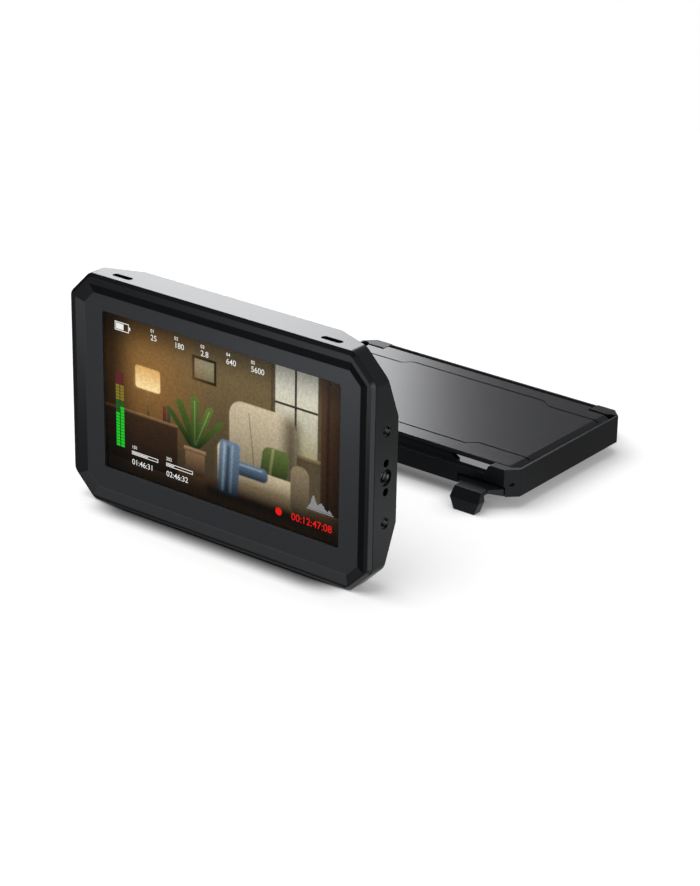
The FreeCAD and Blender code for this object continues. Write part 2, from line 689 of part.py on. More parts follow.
def near_wall_cut():
    """What is taken off the near wall between the two corner tabs."""
    lean_x = NEAR_TAB_X + NEAR_TAB_LEAN
    wide = lean_x + NEAR_TAB_CHAMFER
    half = [
        (NEAR_TAB_X, NEAR_WALL_HEIGHT), (lean_x, HOOD_HEIGHT - NEAR_TAB_CHAMFER_DROP), (wide, HOOD_HEIGHT),
        (wide, HOOD_HEIGHT + OVERCUT),
    ]
    outline = half + [(-x, z) for x, z in reversed(half)]
    return profile_y(outline, NEAR_FACE - OVERCUT, NEAR_INNER + OVERCUT)


def flap_rest():
    """The rib behind the near wall that the closed flap lies on."""
    half = SLOT_X - NOTCH_HALF - RIB_LATCH_GAP
    top = FLAP_UNDER - FLAP_REST_GAP
    rear = NEAR_INNER + RIB_DEPTH
    right = [(half, BASE_PLATE), (half, NEAR_WALL_HEIGHT), (half - RIB_SLOPE_RUN, top)]
    outline = right + [(-x, z) for x, z in reversed(right)]
    section = [
        (NEAR_INNER, BASE_PLATE), (NEAR_INNER, NEAR_WALL_HEIGHT), (NEAR_INNER + RIB_LEAN, top), (rear, top),
        (rear, BASE_PLATE),
    ]
    return profile_y(outline, NEAR_INNER, rear).common(profile_x(section, -half, half))


def latch_space():
    """Notch and pocket for the right latch, with the hole for its pin."""
    x0 = SLOT_X - NOTCH_HALF
    x1 = SLOT_X + NOTCH_HALF
    notch = box((x0, x1), (NEAR_FACE - OVERCUT, POCKET_FRONT + OVERCUT), (-OVERCUT, NOTCH_TOP))
    pocket = box((x0, x1), (POCKET_FRONT, POCKET_REAR), (-OVERCUT, POCKET_TOP))
    start = x0 - LATCH_PIN_LAP
    hole = rod(LATCH_PIN_RADIUS + PRESS_GAP, (start, PIVOT_Y, PIVOT_Z), X_AXIS, HOOD_HALF - start)
    return notch.fuse([pocket, hole])


def far_hook():
    """A fixed hook beside the far wall: arm over the rim, leg, and nib pointing back to the hood."""
    outer = HOOK_INNER + HOOK_THICKNESS
    wall = HOOD_HALF_Y - FAR_WALL
    nib_low = NIB_Z - NIB_THICKNESS / 2
    nib_high = NIB_Z + NIB_THICKNESS / 2
    outline = [
        (wall, ARM_LOW), (HOOK_INNER, ARM_LOW), (HOOK_INNER, nib_high), (HOOK_INNER - NIB_REACH, nib_high),
        (HOOK_INNER - NIB_REACH, nib_low), (HOOK_INNER, -HOOK_DROP), (outer, -HOOK_DROP),
        (outer, ARM_LOW), (HOOK_INNER, HOOK_ARM_TOP), (wall, HOOK_ARM_TOP),
    ]
    return profile_x(outline, SLOT_X - NIB_HALF, SLOT_X + NIB_HALF)


def hinge_facet_x():
    """Where the hinge axis comes out of the far right corner facet."""
    return HOOD_HALF - (HINGE_Y - (HOOD_HALF_Y - HOOD_LEG))


def hood_frame():
    ring = hood_block(0, HOOD_HEIGHT).cut(hood_hollow())
    view = box((-VIEW_HALF, VIEW_HALF), (VIEW_NEAR, VIEW_FAR), (-OVERCUT, BASE_PLATE + OVERCUT))
    ring = round_far_wall(ring.cut([view, near_wall_cut()]))
    hook = far_hook()
    ring = fused(ring, [flap_rest(), hook, mirrored(hook)])
    space = latch_space()
    hinge = rod(
        HINGE_PIN_RADIUS + PRESS_GAP, (FAR_TAB_X - OVERCUT, HINGE_Y, HINGE_Z), X_AXIS, FAR_TAB_LENGTH
    )
    return ring.cut([space, mirrored(space), hinge, mirrored(hinge)])


def flap_hinge_pins():
    end = hinge_facet_x() - HINGE_PIN_SINK
    start = FAR_TAB_X - SWING_GAP - HINGE_PIN_LAP
    pin = rod(HINGE_PIN_RADIUS, (start, HINGE_Y, HINGE_Z), X_AXIS, end - start)
    return Part.makeCompound([mirrored(pin), pin])


# Top flap: a thin panel with bevelled ends, a rounded hinge edge, a recess for the plate, and hinge lugs
def flap_section(y0, y1):
    """The flap's cross section, bevelled at both ends, between two places along Y."""
    edge = FLAP_UNDER + FLAP_BEVEL_EDGE
    inner = FLAP_HALF - FLAP_BEVEL_RUN
    right = [(FLAP_HALF, FLAP_UNDER), (FLAP_HALF, edge), (inner, HOOD_HEIGHT)]
    return profile_y(right + [(-x, z) for x, z in reversed(right)], y0, y1)


def flap_plan():
    """The flap's outline from above, with cut near corners and notches for the far tabs."""
    leg = FLAP_CORNER_LEG
    barrel = FAR_TAB_X - SWING_GAP
    notch = FAR_TAB_Y - FLAP_NOTCH_GAP
    right = [
        (FLAP_HALF - leg, FLAP_NEAR), (FLAP_HALF, FLAP_NEAR + leg), (FLAP_HALF, notch), (barrel, notch),
        (barrel, HINGE_Y),
    ]
    return profile_z(right + [(-x, y) for x, y in reversed(right)], FLAP_UNDER, HOOD_HEIGHT)


def plate_plan(inset):
    """The stepped outline of the inlaid plate, full length, with its long edges moved in by a gap."""
    side = PLATE_HALF_SIDE - inset
    middle = side + PLATE_STEP
    step_out = PLATE_STEP_X + PLATE_STEP
    far = [(FLAP_HALF, side), (step_out, side), (PLATE_STEP_X, middle)]
    upper = far + [(-x, y) for x, y in reversed(far)]
    points = upper + [(-x, -y) for x, y in upper]
    return profile_z([(x, y + PLATE_SHIFT) for x, y in points], PLATE_FLOOR, HOOD_HEIGHT + OVERCUT)


def cheek_lug(y0):
    """An eye under the flap that holds one end of the right cheek's pin."""
    neck = box((CHEEK_X - KNUCKLE_RADIUS, CHEEK_X + KNUCKLE_RADIUS), (y0, y0 + LUG_LENGTH), (CHEEK_Z, FLAP_UNDER))
    return neck.fuse(rod(KNUCKLE_RADIUS, (CHEEK_X, y0, CHEEK_Z), Y_AXIS, LUG_LENGTH))


def top_flap():
    panel = flap_section(FLAP_NEAR, HINGE_Y).common(flap_plan())
    barrel = FAR_TAB_X - SWING_GAP
    edge = rod(FLAP_ROUND, (-barrel, HINGE_Y, HINGE_Z), X_AXIS, 2 * barrel)
    lugs = [cheek_lug(CHEEK_NEAR - SWING_GAP - LUG_LENGTH), cheek_lug(CHEEK_FAR + SWING_GAP)]
    lugs += [mirrored(lug) for lug in lugs]
    body = fused(panel, [edge] + lugs)
    hinge = rod(
        HINGE_PIN_RADIUS + RUN_GAP, (barrel - HINGE_PIN_LAP - OVERCUT, HINGE_Y, HINGE_Z), X_AXIS,
        HINGE_PIN_LAP + 2 * OVERCUT,
    )
    eye = rod(
        CHEEK_PIN_RADIUS + PRESS_GAP, (CHEEK_X, CHEEK_NEAR - 2 * LUG_LENGTH, CHEEK_Z), Y_AXIS,
        CHEEK_FAR - CHEEK_NEAR + 4 * LUG_LENGTH,
    )
    return body.cut([plate_plan(0), hinge, mirrored(hinge), eye, mirrored(eye)])


def flap_plate():
    return flap_section(FLAP_NEAR, HINGE_Y).common(plate_plan(PLATE_SEAM))


# Cheeks: side panels with a hinge barrel along the flap's ends, folded flat under it
def right_cheek():
    barrel = rod(KNUCKLE_RADIUS, (CHEEK_X, CHEEK_NEAR, CHEEK_Z), Y_AXIS, CHEEK_FAR - CHEEK_NEAR)
    low = CHEEK_Z - CHEEK_THICKNESS / 2
    cut = CHEEK_CORNER
    lean = (CHEEK_DEPTH_FAR - CHEEK_DEPTH_NEAR) / (CHEEK_FAR - CHEEK_NEAR)
    points = [
        (CHEEK_X, CHEEK_NEAR), (CHEEK_X, CHEEK_FAR), (CHEEK_X - CHEEK_DEPTH_FAR + cut, CHEEK_FAR),
        (CHEEK_X - CHEEK_DEPTH_FAR + cut * lean, CHEEK_FAR - cut),
        (CHEEK_X - CHEEK_DEPTH_NEAR - cut * lean, CHEEK_NEAR + cut),
        (CHEEK_X - CHEEK_DEPTH_NEAR + cut, CHEEK_NEAR),
    ]
    panel = profile_z(points, low, low + CHEEK_THICKNESS)
    bore = rod(
        CHEEK_PIN_RADIUS + RUN_GAP, (CHEEK_X, CHEEK_NEAR - OVERCUT, CHEEK_Z), Y_AXIS,
        CHEEK_FAR - CHEEK_NEAR + 2 * OVERCUT,
    )
    return fused(barrel, [panel]).cut(bore)


def right_cheek_pin():
    start = CHEEK_NEAR - SWING_GAP - LUG_LENGTH
    return rod(CHEEK_PIN_RADIUS, (CHEEK_X, start, CHEEK_Z), Y_AXIS, CHEEK_FAR + SWING_GAP + LUG_LENGTH - start)


# Latches: a hub on a pin, an arm that passes over the rim, and a foot with a nib for the slot
def latch_foot():
    top_y = FOOT_INNER - FOOT_TOP_RUN
    crease_y = FOOT_INNER - FOOT_CREASE_RUN
    side = [
        (FOOT_INNER, ARM_LOW), (FOOT_INNER, -HOOK_DROP), (crease_y, -HOOK_DROP), (crease_y, FOOT_CREASE_Z),
        (top_y, ARM_TOP), (FOOT_INNER, ARM_TOP),
    ]
    right = [(FOOT_TIP_HALF, -HOOK_DROP), (FOOT_CREASE_HALF, FOOT_CREASE_Z), (FOOT_TOP_HALF, ARM_TOP)]
    front = [(SLOT_X + x, z) for x, z in right + [(-x, z) for x, z in reversed(right)]]
    plate = profile_x(side, SLOT_X - FOOT_CREASE_HALF, SLOT_X + FOOT_CREASE_HALF)
    return plate.common(profile_y(front, crease_y - OVERCUT, FOOT_INNER + OVERCUT))


def right_latch():
    hub_x = (SLOT_X - HUB_HALF_LEFT, SLOT_X + HUB_HALF_RIGHT)
    hub = rod(HUB_RADIUS, (hub_x[0], PIVOT_Y, PIVOT_Z), X_AXIS, hub_x[1] - hub_x[0])
    web_y = PIVOT_Y + HUB_RADIUS - POCKET_GAP
    web = box(hub_x, (PIVOT_Y - HUB_RADIUS + POCKET_GAP, web_y), (ARM_ROOT_LOW, PIVOT_Z))
    right = [
        (ARM_HALF_WIDE, web_y), (ARM_HALF_WIDE, NEAR_FACE), (ARM_HALF_WIDE - ARM_TAPER, NEAR_FACE - ARM_TAPER),
        (ARM_HALF_WIDE - ARM_TAPER, FOOT_INNER),
    ]
    plan = [(SLOT_X + x, y) for x, y in right + [(-x, y) for x, y in reversed(right)]]
    section = [
        (web_y, ARM_ROOT_LOW), (NEAR_FACE, ARM_ROOT_LOW), (NEAR_FACE - HOOD_GAP - BEVEL_WIDTH, ARM_LOW),
        (FOOT_INNER, ARM_LOW), (FOOT_INNER, ARM_TOP), (web_y, ARM_TOP),
    ]
    bar = profile_x(section, SLOT_X - ARM_HALF_WIDE, SLOT_X + ARM_HALF_WIDE)
    arm = profile_z(plan, ARM_ROOT_LOW, ARM_TOP).common(bar)
    nib = box(
        (SLOT_X - NIB_HALF, SLOT_X + NIB_HALF), (FOOT_INNER, FOOT_INNER + NIB_REACH),
        (NIB_Z - NIB_THICKNESS / 2, NIB_Z + NIB_THICKNESS / 2),
    )
    body = fused(hub, [web, arm, latch_foot(), nib])
    bore = rod(
        LATCH_PIN_RADIUS + RUN_GAP, (hub_x[0] - OVERCUT, PIVOT_Y, PIVOT_Z), X_AXIS,
        hub_x[1] - hub_x[0] + 2 * OVERCUT,
    )
    return body.cut(bore)


def right_latch_pin():
    start = SLOT_X - NOTCH_HALF - LATCH_PIN_LAP
    end = HOOD_HALF - HOOD_LEG + PIVOT_IN - LATCH_PIN_SINK
    return rod(LATCH_PIN_RADIUS, (start, PIVOT_Y, PIVOT_Z), X_AXIS, end - start)


# Latch springs: bent strips that lie on the ring's base plate, pass over the pin and press on the latch's arm
def band(points, thickness):
    """The outline of a strip of even thickness whose right-hand side follows a line of points."""
    other = []
    for i, (y, z) in enumerate(points):
        before = points[max(i - 1, 0)]
        after = points[min(i + 1, len(points) - 1)]
        into = math.atan2(z - before[1], y - before[0])
        out = math.atan2(after[1] - z, after[0] - y)
        into = out if i == 0 else into
        out = into if i == len(points) - 1 else out
        reach = thickness / math.cos((out - into) / 2)
        turn = (out + into) / 2 - math.pi / 2
        other.append((y + reach * math.cos(turn), z + reach * math.sin(turn)))
    return points + other[::-1]


def right_latch_spring():
    low = BASE_PLATE + TOUCH_GAP
    over = PIVOT_Z + LATCH_PIN_RADIUS + LEAF_PIN_GAP
    beside = LATCH_PIN_RADIUS + LEAF_PIN_GAP
    line = [
        (PIVOT_Y - beside, ARM_TOP + LEAF_ARM_GAP), (PIVOT_Y - beside, over), (PIVOT_Y + beside, over),
        (POCKET_REAR, low), (POCKET_REAR + LEAF_LAP, low),
    ]
    start = SLOT_X + HUB_HALF_RIGHT + LEAF_SIDE_GAP
    return profile_x(band(line[::-1], LEAF_THICKNESS), start, start + LEAF_WIDTH)


def lying(shape):
    """Moves a hood piece from the hood's own frame to where the hood lies."""
    placed = shape.copy()
    placed.translate(HOOD_PLACE)
    return placed


def export(name, shape):
    shape.exportStep("parts/" + name + ".step")
    print(name, len(shape.Solids), "solids", round(shape.Volume, 2), "mm3", shape.isValid())


def main():
    os.makedirs("parts", exist_ok=True)
    insert = thread_insert()
    right_insert = at_right_side(insert)
    monitor = {
        "front_bezel": front_bezel(),
        "rear_shell": rear_shell(),
        "window_gasket": window_gasket(),
        "cover_glass": display_layer(GLASS_Y, GLASS),
        "display_cell": display_layer(CELL_Y, CELL),
        "backlight_unit": display_layer(BACKLIGHT_Y, BACKLIGHT),
        "mid_frame": mid_frame(),
        "main_board": main_board(),
        "board_standoffs": board_standoffs(),
        "board_screws": board_screws(),
        "board_chips": board_chips(),
        "thermal_pad": thermal_pad(),
        "display_flex": display_flex(),
        "type_c_port": type_c_port(),
        "right_thread_insert": right_insert,
        "left_thread_insert": mirrored(right_insert),
        "lower_thread_insert": insert,
        "housing_screws": housing_screws(),
    }
    hood = {
        "hood_frame": hood_frame(),
        "flap_hinge_pins": flap_hinge_pins(),
        "top_flap": top_flap(),
        "flap_plate": flap_plate(),
    }
    handed = {
        "cheek": right_cheek(),
        "cheek_pin": right_cheek_pin(),
        "latch": right_latch(),
        "latch_pin": right_latch_pin(),
        "latch_spring": right_latch_spring(),
    }
    for name, shape in handed.items():
        hood["right_" + name] = shape
        hood["left_" + name] = mirrored(shape)
    for name, shape in monitor.items():
        export(name, shape)
    for name, shape in hood.items():
        export(name, lying(shape))
    places = {
        "flap hinge": Vector(0, HINGE_Y, HINGE_Z),
        "right cheek hinge": Vector(CHEEK_X, 0, CHEEK_Z),
        "left cheek hinge": Vector(-CHEEK_X, 0, CHEEK_Z),
        "right latch pivot": Vector(SLOT_X, PIVOT_Y, PIVOT_Z),
        "left latch pivot": Vector(-SLOT_X, PIVOT_Y, PIVOT_Z),
    }
    for name, place in places.items():
        print(name, [round(value, 3) for value in place + HOOD_PLACE])


main()
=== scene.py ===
# %% [markdown]
# # A camera field monitor and its sun hood
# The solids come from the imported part. This lesson gives them finishes, adds what is too fine for solids,
# such as threads and the picture on the screen, and lights them as in a product photo on white.

# %% Load the frame
import math

import bpy
from mathutils import Matrix, Vector


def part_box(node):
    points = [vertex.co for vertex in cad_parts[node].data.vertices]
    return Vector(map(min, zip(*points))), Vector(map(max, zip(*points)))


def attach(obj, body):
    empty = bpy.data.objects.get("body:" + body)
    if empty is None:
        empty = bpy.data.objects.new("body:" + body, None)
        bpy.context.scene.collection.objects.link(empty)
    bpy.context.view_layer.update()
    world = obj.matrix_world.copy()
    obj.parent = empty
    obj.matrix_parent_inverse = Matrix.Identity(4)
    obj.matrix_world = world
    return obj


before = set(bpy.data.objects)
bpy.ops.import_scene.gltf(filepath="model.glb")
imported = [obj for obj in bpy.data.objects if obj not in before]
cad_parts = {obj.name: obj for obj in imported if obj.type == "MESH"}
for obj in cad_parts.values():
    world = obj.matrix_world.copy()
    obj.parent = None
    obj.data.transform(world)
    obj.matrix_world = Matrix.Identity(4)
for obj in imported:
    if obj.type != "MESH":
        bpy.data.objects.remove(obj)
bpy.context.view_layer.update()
MM = 0.001

# %% [markdown]
# ## Camera
# The photo was taken with a long lens from the right and above. A camera could be aimed by eye, but the
# angles and the distance were fitted to the corners of the screen window, which is taken to be that of a
# 5-inch panel, so the frame needs no shift or crop. The image is taller than it is wide, so the sensor's
# size runs along its height.

# %% Camera
IMAGE_HEIGHT = 886
FOCAL_PIXELS = 2700.0
SENSOR = 36.0
CAMERA_AZIMUTH = 37.38
CAMERA_ELEVATION = 23.48
CAMERA_ROLL = 1.08
CAMERA_RIGHT = 47.67 * MM
CAMERA_UP = -5.55 * MM
CAMERA_BACK = 972.5 * MM
NEAR_CLIP = 0.05
PANEL_Y = -6.55 * MM

scene = bpy.context.scene
cell_low, cell_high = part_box("display_cell")
SCREEN_MID = Vector((0.0, PANEL_Y, (cell_low.z + cell_high.z) / 2))
azimuth = math.radians(CAMERA_AZIMUTH)
elevation = math.radians(CAMERA_ELEVATION)
roll = math.radians(CAMERA_ROLL)
away = Vector((
    math.sin(azimuth) * math.cos(elevation),
    -math.cos(azimuth) * math.cos(elevation),
    math.sin(elevation),
))
level_right = (-away).cross(Vector((0, 0, 1))).normalized()
level_up = level_right.cross(-away)
right = level_right * math.cos(roll) + level_up * math.sin(roll)
up = level_up * math.cos(roll) - level_right * math.sin(roll)
place = SCREEN_MID + right * CAMERA_RIGHT + up * CAMERA_UP + away * CAMERA_BACK

camera_data = bpy.data.cameras.new("camera")
camera_data.sensor_width = SENSOR
camera_data.lens = FOCAL_PIXELS / IMAGE_HEIGHT * SENSOR
camera_data.clip_start = NEAR_CLIP
camera = bpy.data.objects.new("camera", camera_data)
scene.collection.objects.link(camera)
camera.matrix_world = Matrix.Translation(place) @ Matrix((right, up, away)).transposed().to_4x4()
scene.camera = camera
scene.view_settings.view_transform = "Standard"
print("lens", round(camera_data.lens, 1), "mm, camera at", [round(v, 3) for v in place])

# %% [markdown]
# ## Helpers for materials
# Colours are written as they look on a display, from 0 to 255, and turned into linear light, because
# shaders work in linear light. The other helpers only save lines: they make a node, a group or a material
# with its values set.

# %% Helpers for materials
DISPLAY_MAX = 255.0
CURVE_KNEE = 0.04045
CURVE_SLOPE = 12.92
CURVE_OFFSET = 0.055
CURVE_POWER = 2.4


def linear(red, green, blue):
    """A display colour from 0 to 255 as linear light with full alpha."""
    values = []
    for channel in (red, green, blue):
        shown = channel / DISPLAY_MAX
        curved = ((shown + CURVE_OFFSET) / (1 + CURVE_OFFSET)) ** CURVE_POWER
        values.append(shown / CURVE_SLOPE if shown <= CURVE_KNEE else curved)
    return (*values, 1.0)


def new_group(name, inputs, outputs):
    """An empty shader node group with float inputs and sockets of the named kinds as outputs."""
    group = bpy.data.node_groups.new(name, "ShaderNodeTree")
    for label, value in inputs.items():
        socket = group.interface.new_socket(label, in_out="INPUT", socket_type="NodeSocketFloat")
        socket.default_value = value
    for label, kind in outputs.items():
        group.interface.new_socket(label, in_out="OUTPUT", socket_type=kind)
    return group, group.nodes.new("NodeGroupInput"), group.nodes.new("NodeGroupOutput")


def add_node(tree, kind, settings=None, values=None):
    """A node with its properties and socket constants set."""
    node = tree.nodes.new(kind)
    for key, value in (settings or {}).items():
        setattr(node, key, value)
    for key, value in (values or {}).items():
        node.inputs[key].default_value = value
    return node


def new_material(name):
    """A material with only a Principled shader on its output."""
    material = bpy.data.materials.new(name)
    material.use_nodes = True
    tree = material.node_tree
    tree.nodes.clear()
    output = tree.nodes.new("ShaderNodeOutputMaterial")
    shader = tree.nodes.new("ShaderNodeBsdfPrincipled")
    tree.links.new(shader.outputs["BSDF"], output.inputs["Surface"])
    return material, tree, shader, output


print("white in linear light", linear(255, 255, 255))

# %% [markdown]
# ## Surface of moulded and painted pieces
# Real mouldings have a fine grain and no perfectly sharp edge. Modelling that would take far too many
# faces, so one shared group makes it in shading: noise gives the grain and a slightly uneven roughness, and
# a bevel node rounds the edges. Each material sets only its own numbers.

# %% Surface of moulded and painted pieces
GRAIN_DETAIL = 3.0
GRAIN_HEIGHT = 0.05 * MM
NOISE_MID = 0.5
EDGE_SAMPLES = 6

surface, surface_in, surface_out = new_group(
    "moulded_surface",
    {"Grain per mm": 4.0, "Grain": 0.1, "Edge mm": 0.15, "Roughness": 0.45, "Uneven": 0.05},
    {"Normal": "NodeSocketVector", "Roughness": "NodeSocketFloat"},
)
place_in = add_node(surface, "ShaderNodeTexCoord")
per_metre = add_node(surface, "ShaderNodeMath", {"operation": "MULTIPLY"}, {1: 1 / MM})
grain = add_node(surface, "ShaderNodeTexNoise", values={"Detail": GRAIN_DETAIL})
edge_size = add_node(surface, "ShaderNodeMath", {"operation": "MULTIPLY"}, {1: MM})
edge = add_node(surface, "ShaderNodeBevel", {"samples": EDGE_SAMPLES})
bump = add_node(surface, "ShaderNodeBump", values={"Distance": GRAIN_HEIGHT})
spread = add_node(surface, "ShaderNodeMath", {"operation": "SUBTRACT"}, {1: NOISE_MID})
uneven = add_node(surface, "ShaderNodeMath", {"operation": "MULTIPLY_ADD"})
surface.links.new(surface_in.outputs["Grain per mm"], per_metre.inputs[0])
surface.links.new(place_in.outputs["Object"], grain.inputs["Vector"])
surface.links.new(per_metre.outputs[0], grain.inputs["Scale"])
surface.links.new(surface_in.outputs["Edge mm"], edge_size.inputs[0])
surface.links.new(edge_size.outputs[0], edge.inputs["Radius"])
surface.links.new(grain.outputs[0], bump.inputs["Height"])
surface.links.new(surface_in.outputs["Grain"], bump.inputs["Strength"])
surface.links.new(edge.outputs["Normal"], bump.inputs["Normal"])
surface.links.new(bump.outputs["Normal"], surface_out.inputs["Normal"])
surface.links.new(grain.outputs[0], spread.inputs[0])
surface.links.new(spread.outputs[0], uneven.inputs[0])
surface.links.new(surface_in.outputs["Uneven"], uneven.inputs[1])
surface.links.new(surface_in.outputs["Roughness"], uneven.inputs[2])
surface.links.new(uneven.outputs[0], surface_out.inputs["Roughness"])
print("group", surface.name, "has", len(surface.nodes), "nodes")

# %% [markdown]
# A finish is a Principled shader with its own colour, roughness and tint of the gloss, and the shared group
# for what varies over the surface. One function makes it, so that every piece gets its finish in the same
# way. A second one puts it on.

# %% Finishes
NEUTRAL = (1.0, 1.0, 1.0, 1.0)


def finish_material(
    name, colour, roughness, grain_per_mm, grain_strength, edge_mm, metallic=0.0, specular=0.5, tint=NEUTRAL
):
    """A finish made with the shared surface group."""
    material, tree, shader, _ = new_material(name)
    group = tree.nodes.new("ShaderNodeGroup")
    group.node_tree = surface
    group.inputs["Grain per mm"].default_value = grain_per_mm
    group.inputs["Grain"].default_value = grain_strength
    group.inputs["Edge mm"].default_value = edge_mm
    group.inputs["Roughness"].default_value = roughness
    shader.inputs["Base Color"].default_value = colour
    shader.inputs["Metallic"].default_value = metallic
    shader.inputs["Specular IOR Level"].default_value = specular
    shader.inputs["Specular Tint"].default_value = tint
    tree.links.new(group.outputs["Normal"], shader.inputs["Normal"])
    tree.links.new(group.outputs["Roughness"], shader.inputs["Roughness"])
    return material


def dress(material, *names):
    """Gives CAD nodes one material."""
    for name in names:
        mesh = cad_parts[name].data
        mesh.materials.clear()
        mesh.materials.append(material)
    print(material.name, "on", ", ".join(names))


settings = [item.name for item in surface.interface.items_tree if item.in_out == "INPUT"]
print("a finish can set", ", ".join(settings))

# %% [markdown]
# ## Painted housing
# Bezel and shell are cast or milled light alloy with a fine matte black paint. The grain could come from a
# picture of paint, but noise has no seams and needs no file. It is small enough to break up the reflections
# a little without showing as bumps. The flat panel round the screen gets a greyer colour than its rim: a
# painted reflection of the pale floor that it mirrors, on top of the real reflection of the cards on the
# floor.
# The bezel is one mesh that stays as it was loaded, so its material changes colour at the depth of the panel.

# %% Painted housing
PANEL_MARGIN = 0.05 * MM
PANEL_DEPTH = PANEL_Y - PANEL_MARGIN
# Numbers of the sockets of a Mix node that mixes colours
MIX_A = 6
MIX_B = 7
MIX_RESULT = 2
RIM_COLOUR = linear(8, 8, 9)
# Painted reflection: the greyer colour of the flat panel stands in for the pale floor that it mirrors
PANEL_PAINTED_REFLECTION = linear(47, 49, 52)
PAINT_SHEEN = linear(243, 248, 255)
PAINT = {"grain_per_mm": 5.0, "grain_strength": 0.05, "edge_mm": 0.25, "tint": PAINT_SHEEN}
body_paint = finish_material("body_paint", RIM_COLOUR, roughness=0.28, **PAINT)
bezel_paint = finish_material("bezel_paint", RIM_COLOUR, roughness=0.34, **PAINT)
bezel_tree = bezel_paint.node_tree
bezel_place = add_node(bezel_tree, "ShaderNodeTexCoord")
bezel_axes = add_node(bezel_tree, "ShaderNodeSeparateXYZ")
on_panel = add_node(bezel_tree, "ShaderNodeMath", {"operation": "GREATER_THAN"}, {1: PANEL_DEPTH})
# The painted reflection of the floor goes on the flat panel round the screen, the near-black rim keeps its
# paint
painted_reflection_mix = add_node(
    bezel_tree, "ShaderNodeMix", {"data_type": "RGBA"}, {MIX_A: RIM_COLOUR, MIX_B: PANEL_PAINTED_REFLECTION}
)
bezel_shader = next(node for node in bezel_tree.nodes if node.type == "BSDF_PRINCIPLED")
bezel_tree.links.new(bezel_place.outputs["Object"], bezel_axes.inputs[0])
bezel_tree.links.new(bezel_axes.outputs["Y"], on_panel.inputs[0])
bezel_tree.links.new(on_panel.outputs[0], painted_reflection_mix.inputs[0])
bezel_tree.links.new(painted_reflection_mix.outputs[MIX_RESULT], bezel_shader.inputs["Base Color"])
dress(body_paint, "rear_shell")
dress(bezel_paint, "front_bezel")

# %% [markdown]
# ## Hood mouldings
# The ring, cheeks and latches are black mouldings with a fine texture. The flap and its inlaid plate have a
# smoother satin finish, which mirrors the light behind the set in a long gradient. The gradient could be
# painted on, but it would then stay put when the flap opens, so it is left to the roughness and the light.

# %% Hood mouldings
COOL_SHEEN = linear(238, 243, 255)
MOULDED = {"grain_per_mm": 5.0, "grain_strength": 0.03, "tint": COOL_SHEEN}
hood_plastic = finish_material(
    "hood_plastic", linear(12, 13, 14), roughness=0.4, edge_mm=0.2, specular=0.3, **MOULDED
)
flap_plastic = finish_material(
    "flap_plastic", linear(8, 8, 10), roughness=0.26, edge_mm=0.12, specular=0.455, **MOULDED
)
latch_plastic = finish_material(
    "latch_plastic", linear(15, 16, 17), roughness=0.38, edge_mm=0.2, specular=0.4, **MOULDED
)
dress(hood_plastic, "hood_frame", "right_cheek", "left_cheek")
dress(flap_plastic, "top_flap", "flap_plate")
dress(latch_plastic, "right_latch", "left_latch")

# %% [markdown]
# ## Metal and inner pieces
# Thread bushes, pins, springs and screws are steel. The pieces behind the screen are closed in, so they get
# plain finishes that tell them apart when the housing is opened in a viewer. Each line below is one finish:
# its name, colour, roughness, grain per millimetre, strength of the grain, edge radius in millimetres, 1
# for metal, and the pieces that have it.

# %% Metal and inner pieces
PINS = ("flap_hinge_pins", "right_cheek_pin", "left_cheek_pin", "right_latch_pin", "left_latch_pin")
SPRINGS = ("right_latch_spring", "left_latch_spring")
BUSHES = ("right_thread_insert", "left_thread_insert", "lower_thread_insert")
BRIGHT = PINS + SPRINGS + ("board_standoffs", "board_screws", "type_c_port")
INNER_FINISHES = [
    ("bright_steel", linear(196, 198, 200), 0.3, 8.0, 0.05, 0.05, 1.0, BRIGHT),
    ("thread_steel", linear(120, 121, 123), 0.35, 8.0, 0.05, 0.05, 1.0, BUSHES),
    ("black_steel", linear(58, 58, 60), 0.35, 8.0, 0.05, 0.05, 1.0, ("housing_screws",)),
    ("gasket_foam", linear(14, 14, 14), 0.9, 6.0, 0.3, 0.05, 0.0, ("window_gasket",)),
    ("backlight", linear(235, 236, 238), 0.25, 4.0, 0.02, 0.05, 0.0, ("backlight_unit",)),
    ("frame_metal", linear(200, 201, 203), 0.35, 6.0, 0.05, 0.05, 1.0, ("mid_frame",)),
    ("board", linear(22, 86, 52), 0.3, 4.0, 0.05, 0.05, 0.0, ("main_board",)),
    ("chip_resin", linear(26, 26, 27), 0.55, 6.0, 0.1, 0.05, 0.0, ("board_chips",)),
    ("thermal_pad", linear(150, 156, 164), 0.8, 4.0, 0.1, 0.05, 0.0, ("thermal_pad",)),
    ("flex_film", linear(176, 112, 40), 0.25, 4.0, 0.02, 0.02, 0.0, ("display_flex",)),
]
inner = {}
for name, *look, metallic, pieces in INNER_FINISHES:
    inner[name] = finish_material(name, *look, metallic=metallic)
    dress(inner[name], *pieces)

# %% [markdown]
# ## Cover glass
# The glass is clear with a faint reflection. A refracting shader would be truer, but it needs many more
# samples. A mix of a transparent and a glossy shader by Fresnel keeps the picture behind it sharp.

# %% Cover glass
GLASS_IOR = 1.25
GLASS_ROUGHNESS = 0.08
glass, glass_tree, glass_shader, glass_output = new_material("cover_glass")
glass_tree.nodes.remove(glass_shader)
clear = add_node(glass_tree, "ShaderNodeBsdfTransparent")
gloss = add_node(glass_tree, "ShaderNodeBsdfGlossy", values={"Roughness": GLASS_ROUGHNESS})
fresnel = add_node(glass_tree, "ShaderNodeFresnel", values={"IOR": GLASS_IOR})
glass_mix = add_node(glass_tree, "ShaderNodeMixShader")
glass_tree.links.new(fresnel.outputs[0], glass_mix.inputs[0])
glass_tree.links.new(clear.outputs[0], glass_mix.inputs[1])
glass_tree.links.new(gloss.outputs[0], glass_mix.inputs[2])
glass_tree.links.new(glass_mix.outputs[0], glass_output.inputs["Surface"])
dress(glass, "cover_glass")

